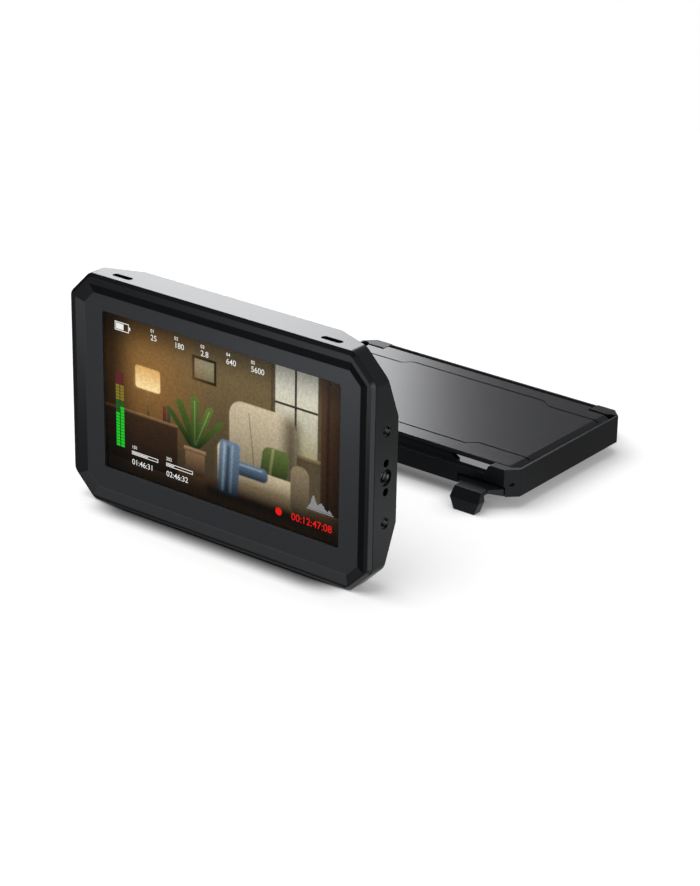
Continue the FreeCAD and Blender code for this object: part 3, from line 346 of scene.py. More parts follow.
# %% [markdown]
# ## Picture on the screen
# The screen shows an invented picture of a dim, warm room: a lamp on a cabinet, a plant, a chair with a
# blanket and a window. It could be an image, but shapes drawn by nodes need no file. Each thing is a soft
# rounded box from one shared group, painted over the last with a vertical gradient. A box may lean, which
# makes leaves and folds. Heights run from 0 to 1 and widths from 0 to 16/9.

# %% Shape group for the picture
SCREEN_WIDTH = 110.7 * MM
SCREEN_HEIGHT = 62.3 * MM

shape, shape_in, shape_out = new_group(
    "soft_box",
    {"U": 0.0, "V": 0.0, "Mid U": 0.5, "Mid V": 0.5, "Half U": 0.1, "Half V": 0.1, "Lean": 0.0, "Round": 0.0,
     "Soft": 0.01, "Strength": 1.0},
    {"Mask": "NodeSocketFloat", "Rise": "NodeSocketFloat"},
)


def chain(tree, operation, first, second=None, third=None):
    """One maths node fed by sockets or numbers; returns its output."""
    node = add_node(tree, "ShaderNodeMath", {"operation": operation})
    for index, item in enumerate((first, second, third)):
        if item is None:
            continue
        if isinstance(item, (int, float)):
            node.inputs[index].default_value = item
        else:
            tree.links.new(item, node.inputs[index])
    return node.outputs[0]


def past_edge(offset, half):
    """How far an offset from the middle lies outside the straight part of a rounded side."""
    straight = chain(shape, "SUBTRACT", shape_in.outputs[half], shape_in.outputs["Round"])
    return chain(shape, "SUBTRACT", chain(shape, "ABSOLUTE", offset), straight)


offset_v = chain(shape, "SUBTRACT", shape_in.outputs["V"], shape_in.outputs["Mid V"])
lean_u = chain(shape, "MULTIPLY_ADD", offset_v, shape_in.outputs["Lean"], shape_in.outputs["Mid U"])
offset_u = chain(shape, "SUBTRACT", shape_in.outputs["U"], lean_u)
out_u = past_edge(offset_u, "Half U")
out_v = past_edge(offset_v, "Half V")
corner_u = chain(shape, "POWER", chain(shape, "MAXIMUM", out_u, 0.0), 2.0)
corner_v = chain(shape, "POWER", chain(shape, "MAXIMUM", out_v, 0.0), 2.0)
corner = chain(shape, "SQRT", chain(shape, "ADD", corner_u, corner_v))
inside = chain(shape, "MINIMUM", chain(shape, "MAXIMUM", out_u, out_v), 0.0)
distance = chain(shape, "SUBTRACT", chain(shape, "ADD", corner, inside), shape_in.outputs["Round"])
print("distance to a rounded box takes", len(shape.nodes), "nodes")

# %% Mask and rise of a shape
fade = add_node(
    shape, "ShaderNodeMapRange", {"interpolation_type": "SMOOTHSTEP"}, {"To Min": 1.0, "To Max": 0.0}
)
shape.links.new(distance, fade.inputs["Value"])
shape.links.new(chain(shape, "MULTIPLY", shape_in.outputs["Soft"], -1.0), fade.inputs["From Min"])
shape.links.new(shape_in.outputs["Soft"], fade.inputs["From Max"])
shape.links.new(
    chain(shape, "MULTIPLY", fade.outputs["Result"], shape_in.outputs["Strength"]), shape_out.inputs["Mask"]
)
low_edge = chain(shape, "SUBTRACT", shape_in.outputs["Mid V"], shape_in.outputs["Half V"])
above = chain(shape, "SUBTRACT", shape_in.outputs["V"], low_edge)
rise = chain(shape, "DIVIDE", above, chain(shape, "MULTIPLY", shape_in.outputs["Half V"], 2.0))
shape.links.new(rise, shape_out.inputs["Rise"])
print("group soft_box has", len(shape.nodes), "nodes")

# %% [markdown]
# Each line below is one thing: its middle, half size, lean, corner rounding, softness, colours at its foot
# and top, and strength. The list runs from the wall to what stands nearest.

# %% Picture layers
LAYERS = [
    ("wall light", 0.98, 0.74, 0.52, 0.36, 0.0, 0.36, 0.36, (98, 82, 54), (132, 112, 74), 0.8),
    ("floor", 0.9, 0.0, 1.1, 0.14, 0.0, 0.0, 0.008, (14, 10, 7), (66, 48, 32), 1.0),
    ("print frame", 0.74, 0.80, 0.092, 0.078, 0.0, 0.002, 0.004, (22, 15, 10), (36, 26, 17), 1.0),
    ("print", 0.74, 0.80, 0.074, 0.060, 0.0, 0.0, 0.004, (112, 104, 78), (158, 150, 122), 1.0),
    ("window", 1.42, 0.74, 0.16, 0.28, 0.0, 0.004, 0.005, (156, 148, 116), (240, 238, 222), 1.0),
    ("garden", 1.35, 0.53, 0.085, 0.075, 0.0, 0.06, 0.03, (52, 62, 30), (112, 120, 70), 0.9),
    ("glazing bar", 1.42, 0.74, 0.008, 0.28, 0.0, 0.0, 0.003, (34, 26, 18), (60, 48, 34), 1.0),
    ("glazing bar", 1.42, 0.75, 0.16, 0.007, 0.0, 0.0, 0.003, (34, 26, 18), (50, 40, 28), 1.0),
    ("jamb", 1.255, 0.74, 0.016, 0.30, 0.0, 0.0, 0.004, (66, 54, 38), (96, 80, 58), 1.0),
    ("sill", 1.42, 0.452, 0.20, 0.015, 0.0, 0.003, 0.004, (70, 56, 40), (140, 120, 88), 1.0),
    ("curtain", 1.70, 0.60, 0.095, 0.45, 0.0, 0.01, 0.008, (40, 26, 18), (92, 66, 46), 1.0),
    ("curtain fold", 1.655, 0.60, 0.010, 0.45, 0.0, 0.01, 0.010, (22, 14, 10), (54, 38, 26), 0.8),
    ("lamp halo", 0.30, 0.64, 0.30, 0.30, 0.0, 0.30, 0.30, (146, 104, 54), (164, 120, 66), 0.75),
    ("lamp stand", 0.30, 0.47, 0.011, 0.10, 0.0, 0.005, 0.004, (58, 42, 22), (150, 116, 66), 1.0),
    ("lamp shade", 0.30, 0.63, 0.098, 0.072, 0.0, 0.02, 0.006, (255, 226, 166), (222, 172, 100), 1.0),
    ("cabinet", 0.20, 0.225, 0.33, 0.165, 0.0, 0.004, 0.005, (22, 15, 10), (58, 40, 27), 1.0),
    ("cabinet top", 0.20, 0.385, 0.345, 0.010, 0.0, 0.003, 0.004, (72, 52, 34), (146, 110, 72), 1.0),
    ("book", 0.430, 0.442, 0.014, 0.048, 0.0, 0.002, 0.003, (80, 34, 26), (118, 54, 40), 1.0),
    ("book", 0.462, 0.448, 0.013, 0.054, 0.0, 0.002, 0.003, (42, 54, 40), (72, 86, 64), 1.0),
    ("leaf", 0.555, 0.395, 0.026, 0.105, -0.9, 0.024, 0.006, (18, 32, 12), (62, 84, 34), 1.0),
    ("leaf", 0.775, 0.400, 0.026, 0.110, 0.9, 0.024, 0.006, (18, 32, 12), (78, 100, 42), 1.0),
    ("leaf", 0.605, 0.430, 0.028, 0.140, -0.45, 0.026, 0.006, (22, 38, 14), (74, 98, 40), 1.0),
    ("leaf", 0.725, 0.435, 0.028, 0.145, 0.45, 0.026, 0.006, (22, 40, 15), (96, 120, 54), 1.0),
    ("leaf", 0.665, 0.455, 0.030, 0.165, 0.0, 0.028, 0.006, (26, 46, 17), (88, 114, 48), 1.0),
    ("leaf rib", 0.665, 0.450, 0.004, 0.140, 0.0, 0.003, 0.004, (70, 92, 44), (150, 168, 98), 0.8),
    ("leaf rib", 0.725, 0.430, 0.004, 0.120, 0.45, 0.003, 0.004, (70, 92, 44), (150, 168, 98), 0.8),
    ("pot", 0.665, 0.200, 0.075, 0.080, 0.0, 0.02, 0.005, (46, 33, 24), (132, 102, 74), 1.0),
    ("pot rim", 0.665, 0.272, 0.086, 0.014, 0.0, 0.008, 0.004, (80, 60, 44), (164, 132, 98), 1.0),
    ("chair shadow", 1.20, 0.055, 0.44, 0.030, 0.0, 0.02, 0.04, (5, 4, 3), (5, 4, 3), 0.9),
    ("chair back", 1.18, 0.43, 0.25, 0.25, 0.0, 0.10, 0.006, (104, 90, 68), (204, 190, 160), 1.0),
    ("chair seam", 1.10, 0.42, 0.003, 0.20, -0.12, 0.003, 0.006, (70, 58, 42), (120, 104, 80), 0.9),
    ("chair shade", 1.39, 0.42, 0.060, 0.25, 0.0, 0.06, 0.06, (44, 36, 26), (84, 72, 54), 0.85),
    ("cushion", 1.27, 0.355, 0.100, 0.098, 0.15, 0.05, 0.006, (30, 42, 18), (92, 108, 54), 1.0),
    ("cushion stripe", 1.245, 0.355, 0.010, 0.094, 0.15, 0.004, 0.004, (84, 88, 52), (150, 152, 104), 0.8),
    ("seat", 1.17, 0.215, 0.28, 0.062, 0.0, 0.05, 0.006, (92, 78, 58), (200, 184, 152), 1.0),
    ("chair base", 1.18, 0.120, 0.30, 0.042, 0.0, 0.012, 0.006, (40, 32, 23), (112, 96, 72), 1.0),
    ("chair arm", 0.905, 0.245, 0.066, 0.155, 0.0, 0.06, 0.006, (84, 70, 52), (216, 202, 172), 1.0),
    ("chair arm", 1.455, 0.240, 0.068, 0.155, 0.0, 0.06, 0.006, (44, 36, 26), (138, 122, 96), 1.0),
    ("blanket spill", 1.07, 0.258, 0.150, 0.044, 0.0, 0.04, 0.008, (22, 32, 44), (92, 112, 134), 1.0),
    ("blanket crease", 1.07, 0.282, 0.110, 0.006, 0.0, 0.005, 0.008, (132, 150, 168), (160, 176, 190), 0.7),
    ("blanket", 0.925, 0.235, 0.078, 0.172, 0.06, 0.03, 0.007, (22, 32, 46), (104, 124, 146), 1.0),
    ("blanket crease", 0.885, 0.235, 0.008, 0.155, 0.06, 0.008, 0.010, (96, 114, 132), (176, 190, 202), 0.75),
    ("blanket crease", 0.915, 0.225, 0.008, 0.150, 0.06, 0.008, 0.010, (10, 15, 23), (40, 54, 70), 0.8),
    ("blanket crease", 0.945, 0.235, 0.007, 0.155, 0.06, 0.007, 0.010, (80, 98, 116), (158, 174, 188), 0.7),
    ("upper shade", 0.89, 1.02, 1.2, 0.13, 0.0, 0.0, 0.12, (16, 12, 8), (10, 8, 6), 0.75),
    ("lower shade", 0.89, -0.02, 1.2, 0.10, 0.0, 0.0, 0.08, (8, 6, 5), (12, 9, 7), 0.75),
    ("side shade", -0.02, 0.40, 0.14, 0.6, 0.0, 0.1, 0.12, (9, 7, 5), (14, 10, 7), 0.8),
    ("side shade", 1.80, 0.40, 0.12, 0.6, 0.0, 0.1, 0.12, (9, 7, 5), (14, 10, 7), 0.75),
]
print("picture layers", len(LAYERS))

# %% [markdown]
# The picture's material first finds where a point lies on the screen, in heights of the screen from its
# lower left corner. It starts with a wall that grows lighter to the right and paints the list over it.

# %% Places on the screen
display, display_tree, display_shader, _ = new_material("display")
coordinates = add_node(display_tree, "ShaderNodeTexCoord")
parts = add_node(display_tree, "ShaderNodeSeparateXYZ")
display_tree.links.new(coordinates.outputs["Object"], parts.inputs[0])


def screen_place(axis, low):
    """Where a point lies along one axis, in heights of the screen from a low edge."""
    offset = chain(display_tree, "SUBTRACT", parts.outputs[axis], low)
    return chain(display_tree, "DIVIDE", offset, SCREEN_HEIGHT)


at_u = screen_place("X", -SCREEN_WIDTH / 2)
at_v = screen_place("Z", SCREEN_MID.z - SCREEN_HEIGHT / 2)
print("screen", round(SCREEN_WIDTH / MM, 1), "by", round(SCREEN_HEIGHT / MM, 1), "mm")

# %% Layers over the wall
WALL_LEFT = linear(30, 23, 15)
WALL_RIGHT = linear(84, 74, 56)
WALL_SPREAD = 0.56
LABELS = ("Mid U", "Mid V", "Half U", "Half V", "Lean", "Round", "Soft")


def mixed(factor, first, second):
    """A colour mix; the factor and either colour may be a socket or a constant."""
    node = add_node(display_tree, "ShaderNodeMix", {"data_type": "RGBA"})
    for socket, item in ((0, factor), (MIX_A, first), (MIX_B, second)):
        if isinstance(item, (int, float, tuple)):
            node.inputs[socket].default_value = item
        else:
            display_tree.links.new(item, node.inputs[socket])
    return node.outputs[MIX_RESULT]


picture = mixed(chain(display_tree, "MULTIPLY", at_u, WALL_SPREAD), WALL_LEFT, WALL_RIGHT)
for name, *constants, foot, top, strength in LAYERS:
    layer = display_tree.nodes.new("ShaderNodeGroup")
    layer.node_tree = shape
    layer.label = name
    for label, value in zip(LABELS, constants):
        layer.inputs[label].default_value = value
    layer.inputs["Strength"].default_value = strength
    display_tree.links.new(at_u, layer.inputs["U"])
    display_tree.links.new(at_v, layer.inputs["V"])
    colour = mixed(layer.outputs["Rise"], linear(*foot), linear(*top))
    picture = mixed(layer.outputs["Mask"], picture, colour)
print("picture takes", len(display_tree.nodes), "nodes")

# %% [markdown]
# Fine noise breaks up the smooth colours, as the grain of a camera's picture does. A screen gives light of
# its own, so the picture is the emission of the cell. The cell itself is dull, because the glass in front
# of it does the mirroring.

# %% Grain and light of the picture
WEAVE_PER_METRE = 1100.0
WEAVE_DETAIL = 4.0
WEAVE_FROM = 0.3
WEAVE_TO = 0.7
WEAVE_LOW = 0.84
WEAVE_HIGH = 1.14
PICTURE_GAIN = 1.0
CELL_COLOUR = linear(8, 8, 9)
CELL_ROUGHNESS = 0.3

weave = add_node(
    display_tree, "ShaderNodeTexNoise", values={"Scale": WEAVE_PER_METRE, "Detail": WEAVE_DETAIL}
)
weave_tone = add_node(
    display_tree, "ShaderNodeMapRange",
    values={"From Min": WEAVE_FROM, "From Max": WEAVE_TO, "To Min": WEAVE_LOW, "To Max": WEAVE_HIGH},
)
woven = add_node(display_tree, "ShaderNodeMix", {"data_type": "RGBA", "blend_type": "MULTIPLY"}, {0: 1.0})
display_tree.links.new(coordinates.outputs["Object"], weave.inputs["Vector"])
display_tree.links.new(weave.outputs[0], weave_tone.inputs["Value"])
display_tree.links.new(picture, woven.inputs[MIX_A])
display_tree.links.new(weave_tone.outputs["Result"], woven.inputs[MIX_B])
display_shader.inputs["Base Color"].default_value = CELL_COLOUR
display_shader.inputs["Roughness"].default_value = CELL_ROUGHNESS
display_shader.inputs["Specular IOR Level"].default_value = 0.0
display_shader.inputs["Emission Strength"].default_value = PICTURE_GAIN
display_tree.links.new(woven.outputs[MIX_RESULT], display_shader.inputs["Emission Color"])
dress(display, "display_cell")

# %% [markdown]
# ## Overlay on the screen
# Numbers and marks lie as thin flat pieces just in front of the picture, as the monitor's own overlay does.
# They could be drawn in the picture's material, but digits are easier to set as text, which is then turned
# into a flat mesh. Places are in millimetres from the middle of the screen, to the right and up.

# %% Overlay colours
BLACK = (0.0, 0.0, 0.0, 1.0)
GLOW_STRENGTH = 1.0


def glow(name, colour):
    """A plain light-emitting finish for marks on the screen."""
    material, _, shader, _ = new_material(name)
    shader.inputs["Base Color"].default_value = BLACK
    shader.inputs["Specular IOR Level"].default_value = 0.0
    shader.inputs["Emission Color"].default_value = colour
    shader.inputs["Emission Strength"].default_value = GLOW_STRENGTH
    return material


GLOW_COLOURS = {
    "white": linear(236, 236, 234),
    "grey": linear(150, 152, 156),
    "red": linear(232, 24, 22),
    "dark_red": linear(96, 34, 40),
    "green": linear(30, 196, 44),
    "dark_green": linear(26, 92, 34),
    "yellow": linear(128, 116, 40),
}
glows = {name: glow("overlay_" + name, colour) for name, colour in GLOW_COLOURS.items()}
print("overlay colours", ", ".join(glows))

# %% Flat marks
OVERLAY_LIFT = 0.03 * MM
OVERLAY_Y = cell_low.y - OVERLAY_LIFT
DISC_POINTS = 28


def on_screen(obj, material):
    """Hangs a finished overlay piece on the monitor."""
    obj.data.materials.clear()
    obj.data.materials.append(material)
    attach(obj, "monitor")
    print("overlay", obj.name)
    return obj


def flat_piece(name, shapes, material):
    """One mesh of flat polygons, each a list of points in millimetres on the screen."""
    points = []
    faces = []
    for polygon in shapes:
        faces.append(tuple(range(len(points), len(points) + len(polygon))))
        points += [(x * MM, OVERLAY_Y, SCREEN_MID.z + z * MM) for x, z in polygon]
    mesh = bpy.data.meshes.new(name)
    mesh.from_pydata(points, [], faces)
    obj = bpy.data.objects.new(name, mesh)
    scene.collection.objects.link(obj)
    return on_screen(obj, material)


def bar(x0, z0, x1, z1):
    """The corners of a rectangle."""
    return [(x0, z0), (x1, z0), (x1, z1), (x0, z1)]


def hollow_bar(x0, z0, x1, z1, line):
    """The four sides of a rectangular outline."""
    return [
        bar(x0, z0, x1, z0 + line), bar(x0, z1 - line, x1, z1),
        bar(x0, z0 + line, x0 + line, z1 - line), bar(x1 - line, z0 + line, x1, z1 - line),
    ]


def disc(x, z, radius):
    """The points of a round mark."""
    turns = [2 * math.pi * i / DISC_POINTS for i in range(DISC_POINTS)]
    return [(x + radius * math.cos(t), z + radius * math.sin(t)) for t in turns]


print("overlay lies at y", round(OVERLAY_Y / MM, 2), "mm")

# %% Numbers
NUMBER_WEIGHT = 0.01
SMALL = 1.9
LARGE = 3.1


def number(name, text, x, z, size, material, align="LEFT"):
    """Digits as a flat mesh."""
    curve = bpy.data.curves.new(name, "FONT")
    curve.body = text
    curve.size = size * MM
    curve.align_x = align
    curve.offset = NUMBER_WEIGHT * MM
    writer = bpy.data.objects.new(name + "_curve", curve)
    scene.collection.objects.link(writer)
    bpy.context.view_layer.update()
    mesh = bpy.data.meshes.new_from_object(writer)
    bpy.data.objects.remove(writer)
    place = Matrix.Translation((x * MM, OVERLAY_Y, SCREEN_MID.z + z * MM))
    mesh.transform(place @ Matrix.Rotation(math.pi / 2, 4, "X"))
    obj = bpy.data.objects.new(name, mesh)
    scene.collection.objects.link(obj)
    return on_screen(obj, material)


print("small digits", SMALL, "mm, large digits", LARGE, "mm")

# %% [markdown]
# The upper row holds a battery and the exposure numbers that a camera sends. Each number is given with its
# place across the screen, and has a small index above it.

# %% Exposure numbers
ROW_Z = 24.6
ROW_GAP = 3.0
VALUES = (("25", -34.0), ("180", -22.5), ("2.8", -10.0), ("640", 2.0), ("5600", 13.5))
for index, (label, x) in enumerate(VALUES, start=1):
    number("value_" + label, label, x, ROW_Z, LARGE, glows["white"])
    number("index_" + label, "0" + str(index), x, ROW_Z + ROW_GAP, SMALL, glows["white"])

# %% Battery
BATTERY_X = -51.5
BATTERY_Z = ROW_Z - 0.2
BATTERY_WIDE = 6.9
BATTERY_HIGH = 3.5
BATTERY_LINE = 0.32
BATTERY_INSET = 0.6
CHARGE_WIDE = 3.7
CAP_GAP = 0.1
CAP_WIDE = 0.6
CAP_HIGH = 1.3
battery_end = BATTERY_X + BATTERY_WIDE
battery_top = BATTERY_Z + BATTERY_HIGH
cap_x = battery_end + CAP_GAP
cap_z = BATTERY_Z + (BATTERY_HIGH - CAP_HIGH) / 2
charge_x = BATTERY_X + BATTERY_INSET
battery = hollow_bar(BATTERY_X, BATTERY_Z, battery_end, battery_top, BATTERY_LINE)
battery.append(bar(cap_x, cap_z, cap_x + CAP_WIDE, cap_z + CAP_HIGH))
battery.append(bar(charge_x, BATTERY_Z + BATTERY_INSET, charge_x + CHARGE_WIDE, battery_top - BATTERY_INSET))
flat_piece("battery_mark", battery, glows["white"])

# %% [markdown]
# Two meters of the sound level stand at the left edge. Each is given by its name, its place and the number
# of its lit bars. The bars are gathered by colour, so that each colour is one piece.

# %% Level meters
METER_LOW = -22.0
METER_STEP = 1.25
METER_BAR = 1.05
METER_WIDE = 1.8
METER_BARS = 24
METER_YELLOW = 15
METER_RED = 20
METERS = (("left", -51.6, 11), ("right", -49.4, 13))


def meter_colour(index, lit):
    """The colour of one bar of a meter that has some of its lower bars lit."""
    if index >= METER_RED:
        return "dark_red"
    if index >= METER_YELLOW:
        return "yellow"
    return "green" if index < lit else "dark_green"


levels = {"green": [], "dark_green": [], "yellow": [], "dark_red": []}
for name, x, lit in METERS:
    for index in range(METER_BARS):
        z = METER_LOW + index * METER_STEP
        levels[meter_colour(index, lit)].append(bar(x, z, x + METER_WIDE, z + METER_BAR))
    print(name, "meter has", lit, "bars lit")
for kind, shapes in levels.items():
    flat_piece("meter_" + kind, shapes, glows[kind])

# %% [markdown]
# A small histogram is at the lower right. Its outline is a sum of bell curves, each with a height, a middle
# and a spread, and a fine ripple.

# %% Histogram
HISTOGRAM_X = 40.0
HISTOGRAM_Z = -20.5
HISTOGRAM_WIDE = 11.0
HISTOGRAM_HIGH = 6.5
HILLS = ((0.75, 0.22, 0.12), (0.4, 0.55, 0.16), (0.16, 0.9, 0.05))
RIPPLE = 0.05
RIPPLE_RATE = 31
COLUMNS = 40
COLUMN_WIDE = 0.2
COLUMN_FOOT = 0.3
BASE_MARGIN = 0.6
BASE_DROP = 0.5
BASE_LINE = 0.3

columns = []
for index in range(COLUMNS):
    share = index / (COLUMNS - 1)
    height = RIPPLE * math.sin(RIPPLE_RATE * share) ** 2
    for peak, middle, spread_share in HILLS:
        height += peak * math.exp(-((share - middle) / spread_share) ** 2)
    x = HISTOGRAM_X + HISTOGRAM_WIDE * index / COLUMNS
    top = HISTOGRAM_Z + COLUMN_FOOT + height * HISTOGRAM_HIGH
    columns.append(bar(x, HISTOGRAM_Z, x + COLUMN_WIDE, top))
flat_piece("histogram", columns, glows["grey"])
base_z = HISTOGRAM_Z - BASE_DROP
base_end = HISTOGRAM_X + HISTOGRAM_WIDE + BASE_MARGIN
base = bar(HISTOGRAM_X - BASE_MARGIN, base_z, base_end, base_z + BASE_LINE)
flat_piece("histogram_frame", [base], glows["grey"])

# %% [markdown]
# The lower row holds the running time with its red dot at the right, and two stores of pictures at the
# left. A store is given by its place, the share of it that is full, and its number.

# %% Running time
TIME_Z = -27.6
TIME_END = 51.0
TIME_SIZE = 4.0
DOT_X = 26.6
DOT_LIFT = 1.4
DOT_RADIUS = 1.5
number("running_time", "00:12:47:08", TIME_END, TIME_Z, TIME_SIZE, glows["red"], "RIGHT")
flat_piece("record_dot", [disc(DOT_X, TIME_Z + DOT_LIFT, DOT_RADIUS)], glows["red"])

# %% Stores
STORES = ((-44.0, 0.62, "1"), (-27.0, 0.28, "2"))
STORE_Z = TIME_Z + 4.0
STORE_WIDE = 13.0
STORE_HIGH = 1.4
STORE_LINE = 0.28
STORE_INSET = 0.5
STORE_INDEX_Z = TIME_Z + 6.4
for x, share, label in STORES:
    fill_x = x + STORE_INSET
    fill_end = fill_x + (STORE_WIDE - 2 * STORE_INSET) * share
    outline = hollow_bar(x, STORE_Z, x + STORE_WIDE, STORE_Z + STORE_HIGH, STORE_LINE)
    outline.append(bar(fill_x, STORE_Z + STORE_INSET, fill_end, STORE_Z + STORE_HIGH - STORE_INSET))
    flat_piece("store_" + label, outline, glows["white"])
    number("store_index_" + label, label + "0" + label, x, STORE_INDEX_Z, SMALL, glows["white"])
    number("store_time_" + label, "0" + label + ":46:3" + label, x, TIME_Z, LARGE, glows["white"])

# %% [markdown]
# ## Threads
# The quarter-inch bushes and the M4 holes get real thread ridges. A bump in the finish would do from
# straight ahead, but the holes are seen at a slant, where only real ridges catch the light. One ridge is a
# narrow trapezoid swept along a helix that starts a little inside the mouth, with the pitch of the standard
# thread.

# %% Thread ridge
RIDGE_STEPS = 36
RIDGE_SINK = 0.004 * MM
RIDGE_FOOT = 0.04
RIDGE_CREST = 0.44


def ridge_profile(radius, depth):
    """The corners of a ridge: how far each is from the axis, and its share of the pitch."""
    outer = radius - RIDGE_SINK
    crest = radius - depth
    return ((outer, RIDGE_FOOT), (crest, RIDGE_CREST), (crest, 1 - RIDGE_CREST), (outer, 1 - RIDGE_FOOT))


def thread_ridge(name, mouth, inward, radius, pitch, depth, start, length):
    """A helical ridge inside a hole, from a start depth below the mouth."""
    axis = Vector(inward)
    side = Vector((0, 1, 0))
    other = axis.cross(side)
    profile = ridge_profile(radius, depth)
    corners = len(profile)
    points = []
    faces = []
    count = int((length - pitch) / pitch * RIDGE_STEPS)
    for i in range(count + 1):
        turn = 2 * math.pi * i / RIDGE_STEPS
        spoke = side * math.cos(turn) + other * math.sin(turn)
        along = start + pitch * i / RIDGE_STEPS
        for reach, shift in profile:
            points.append(Vector(mouth) + spoke * reach + axis * (along + shift * pitch))
        if i:
            here = corners * i
            before = here - corners
            for j in range(corners):
                k = (j + 1) % corners
                faces.append((before + j, before + k, here + k, here + j))
    last = corners * count
    faces.append(tuple(range(corners)))
    faces.append(tuple(reversed(range(last, last + corners))))
    mesh = bpy.data.meshes.new(name)
    mesh.from_pydata(points, [], faces)
    mesh.materials.append(inner["thread_steel"])
    obj = bpy.data.objects.new(name, mesh)
    scene.collection.objects.link(obj)
    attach(obj, "monitor")
    print(name, "has", count // RIDGE_STEPS, "whole turns")


# %% [markdown]
# The lower bush opens downwards. Each side has a quarter-inch bush in the middle of its mount and an M4
# hole above and below it. The frame gives the places of the sides and of the bush.

# %% Threads
QUARTER_INCH = {
    "radius": 3.175 * MM, "pitch": 1.27 * MM, "depth": 0.62 * MM, "start": 0.9 * MM, "length": 7.8 * MM
}
M4 = {"radius": 2.0 * MM, "pitch": 0.7 * MM, "depth": 0.36 * MM, "start": 0.4 * MM, "length": 6.2 * MM}
M4_SPACING = 35.0 * MM
M4_LIFTS = (("upper", M4_SPACING / 2), ("lower", -M4_SPACING / 2))

_, shell_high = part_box("rear_shell")
bush_low, bush_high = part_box("right_thread_insert")
mount_z = (bush_low.z + bush_high.z) / 2
thread_ridge("lower_thread_ridge", (0, 0, 0), (0, 0, 1), **QUARTER_INCH)
for sign, name in ((1, "right"), (-1, "left")):
    side_x = sign * shell_high.x
    inward = (-sign, 0, 0)
    thread_ridge(name + "_thread_ridge", (side_x, 0, mount_z), inward, **QUARTER_INCH)
    for level, lift in M4_LIFTS:
        thread_ridge(name + "_m4_ridge_" + level, (side_x, 0, mount_z + lift), inward, **M4)

# %% [markdown]
# ## Light, floor and background
# A big softbox overhead, a little to the front and left, whitens the floor and throws soft shadows to the
# right. Another behind and to the left shows only in reflections: it makes the bright top faces and the
# gradient on the flap. Sun or spot lamps would throw hard edges, so both are wide area lights.

# %% Lights
def softbox(name, centre, target, width, height, power):
    """A rectangular light at a place, facing a target, in metres and watts."""
    light = bpy.data.lights.new(name, "AREA")
    light.shape = "RECTANGLE"
    light.size = width
    light.size_y = height
    light.energy = power
    holder = bpy.data.objects.new(name, light)
    scene.collection.objects.link(holder)
    direction = Vector(target) - Vector(centre)
    facing = direction.to_track_quat("-Z", "Y").to_matrix().to_4x4()
    holder.matrix_world = Matrix.Translation(centre) @ facing
    print(name, "at", centre)
    return holder


overhead = softbox(
    "overhead", centre=(-0.4, -0.3, 1.4), target=(-0.05, 0.05, 0.0), width=1.8, height=1.8, power=30.0
)
overhead.visible_glossy = False
behind_left = softbox(
    "behind_left", centre=(-0.665, 0.75, 0.45), target=(-0.665, 0.0, 0.45), width=0.4, height=0.7, power=3.9
)
behind_left.visible_diffuse = False

# %% [markdown]
# The room is plain white to the camera. Dark glossy pieces mirror something else, as in a studio: a wide
# card in front that is brighter to the right, a smaller one higher up at the left, the white floor straight
# below, a dim rear, and darkness above. A panorama picture could stand in for that, but smooth masks of the
# ray's direction need no file and are set one by one.

# %% Masks of the room
CARD = 0.18
CARD_RIGHT = 1.9
CARD_UPPER = 1.0
REAR = 0.29
UPPER_LEFT = 0.9
BELOW = 1.0
DARK = 0.02

world = bpy.data.worlds.new("white_room")
world.use_nodes = True
scene.world = world
room = world.node_tree
room.nodes.clear()
room_direction = room.nodes.new("ShaderNodeTexCoord")
room_axes = room.nodes.new("ShaderNodeSeparateXYZ")
room.links.new(room_direction.outputs["Generated"], room_axes.inputs[0])


def smooth_step(tree, value, span, low, high):
    """A smooth change from low to high while a value runs over a span."""
    node = add_node(
        tree, "ShaderNodeMapRange", {"interpolation_type": "SMOOTHSTEP"},
        {"From Min": span[0], "From Max": span[1], "To Min": low, "To Max": high},
    )
    tree.links.new(value, node.inputs["Value"])
    return node.outputs["Result"]


def ramp(axis, start, finish, low=0.0, high=1.0):
    """A smooth step along one axis of the ray's direction."""
    return smooth_step(room, room_axes.outputs[axis], (start, finish), low, high)


in_front = ramp("Y", start=-0.66, finish=-0.42, low=1.0, high=0.0)
below_top = ramp("Z", start=0.2, finish=0.45, low=1.0, high=0.0)
rightward = ramp("X", start=0.1, finish=0.75, low=CARD, high=CARD + CARD_RIGHT)
upward = ramp("Z", start=-0.35, finish=0.3, high=CARD_UPPER)
in_upper_front = ramp("Y", start=-0.7, finish=-0.55, low=1.0, high=0.0)
above_table = ramp("Z", start=0.15, finish=0.45)
leftward = ramp("X", start=-0.6, finish=-0.2, low=UPPER_LEFT, high=0.0)
below = ramp("Z", start=-0.97, finish=-0.8, low=BELOW, high=0.0)
rear = ramp("Y", start=0.2, finish=0.6, low=DARK, high=REAR)
print("room masks", len(room.nodes), "nodes")

# %% [markdown]
# The masks are joined to the room that reflections show. Light Path picks between that, an even fill for
# the light that the room gives, and plain white for the camera.

# %% Light of the room
ROOM_FILL = 0.45

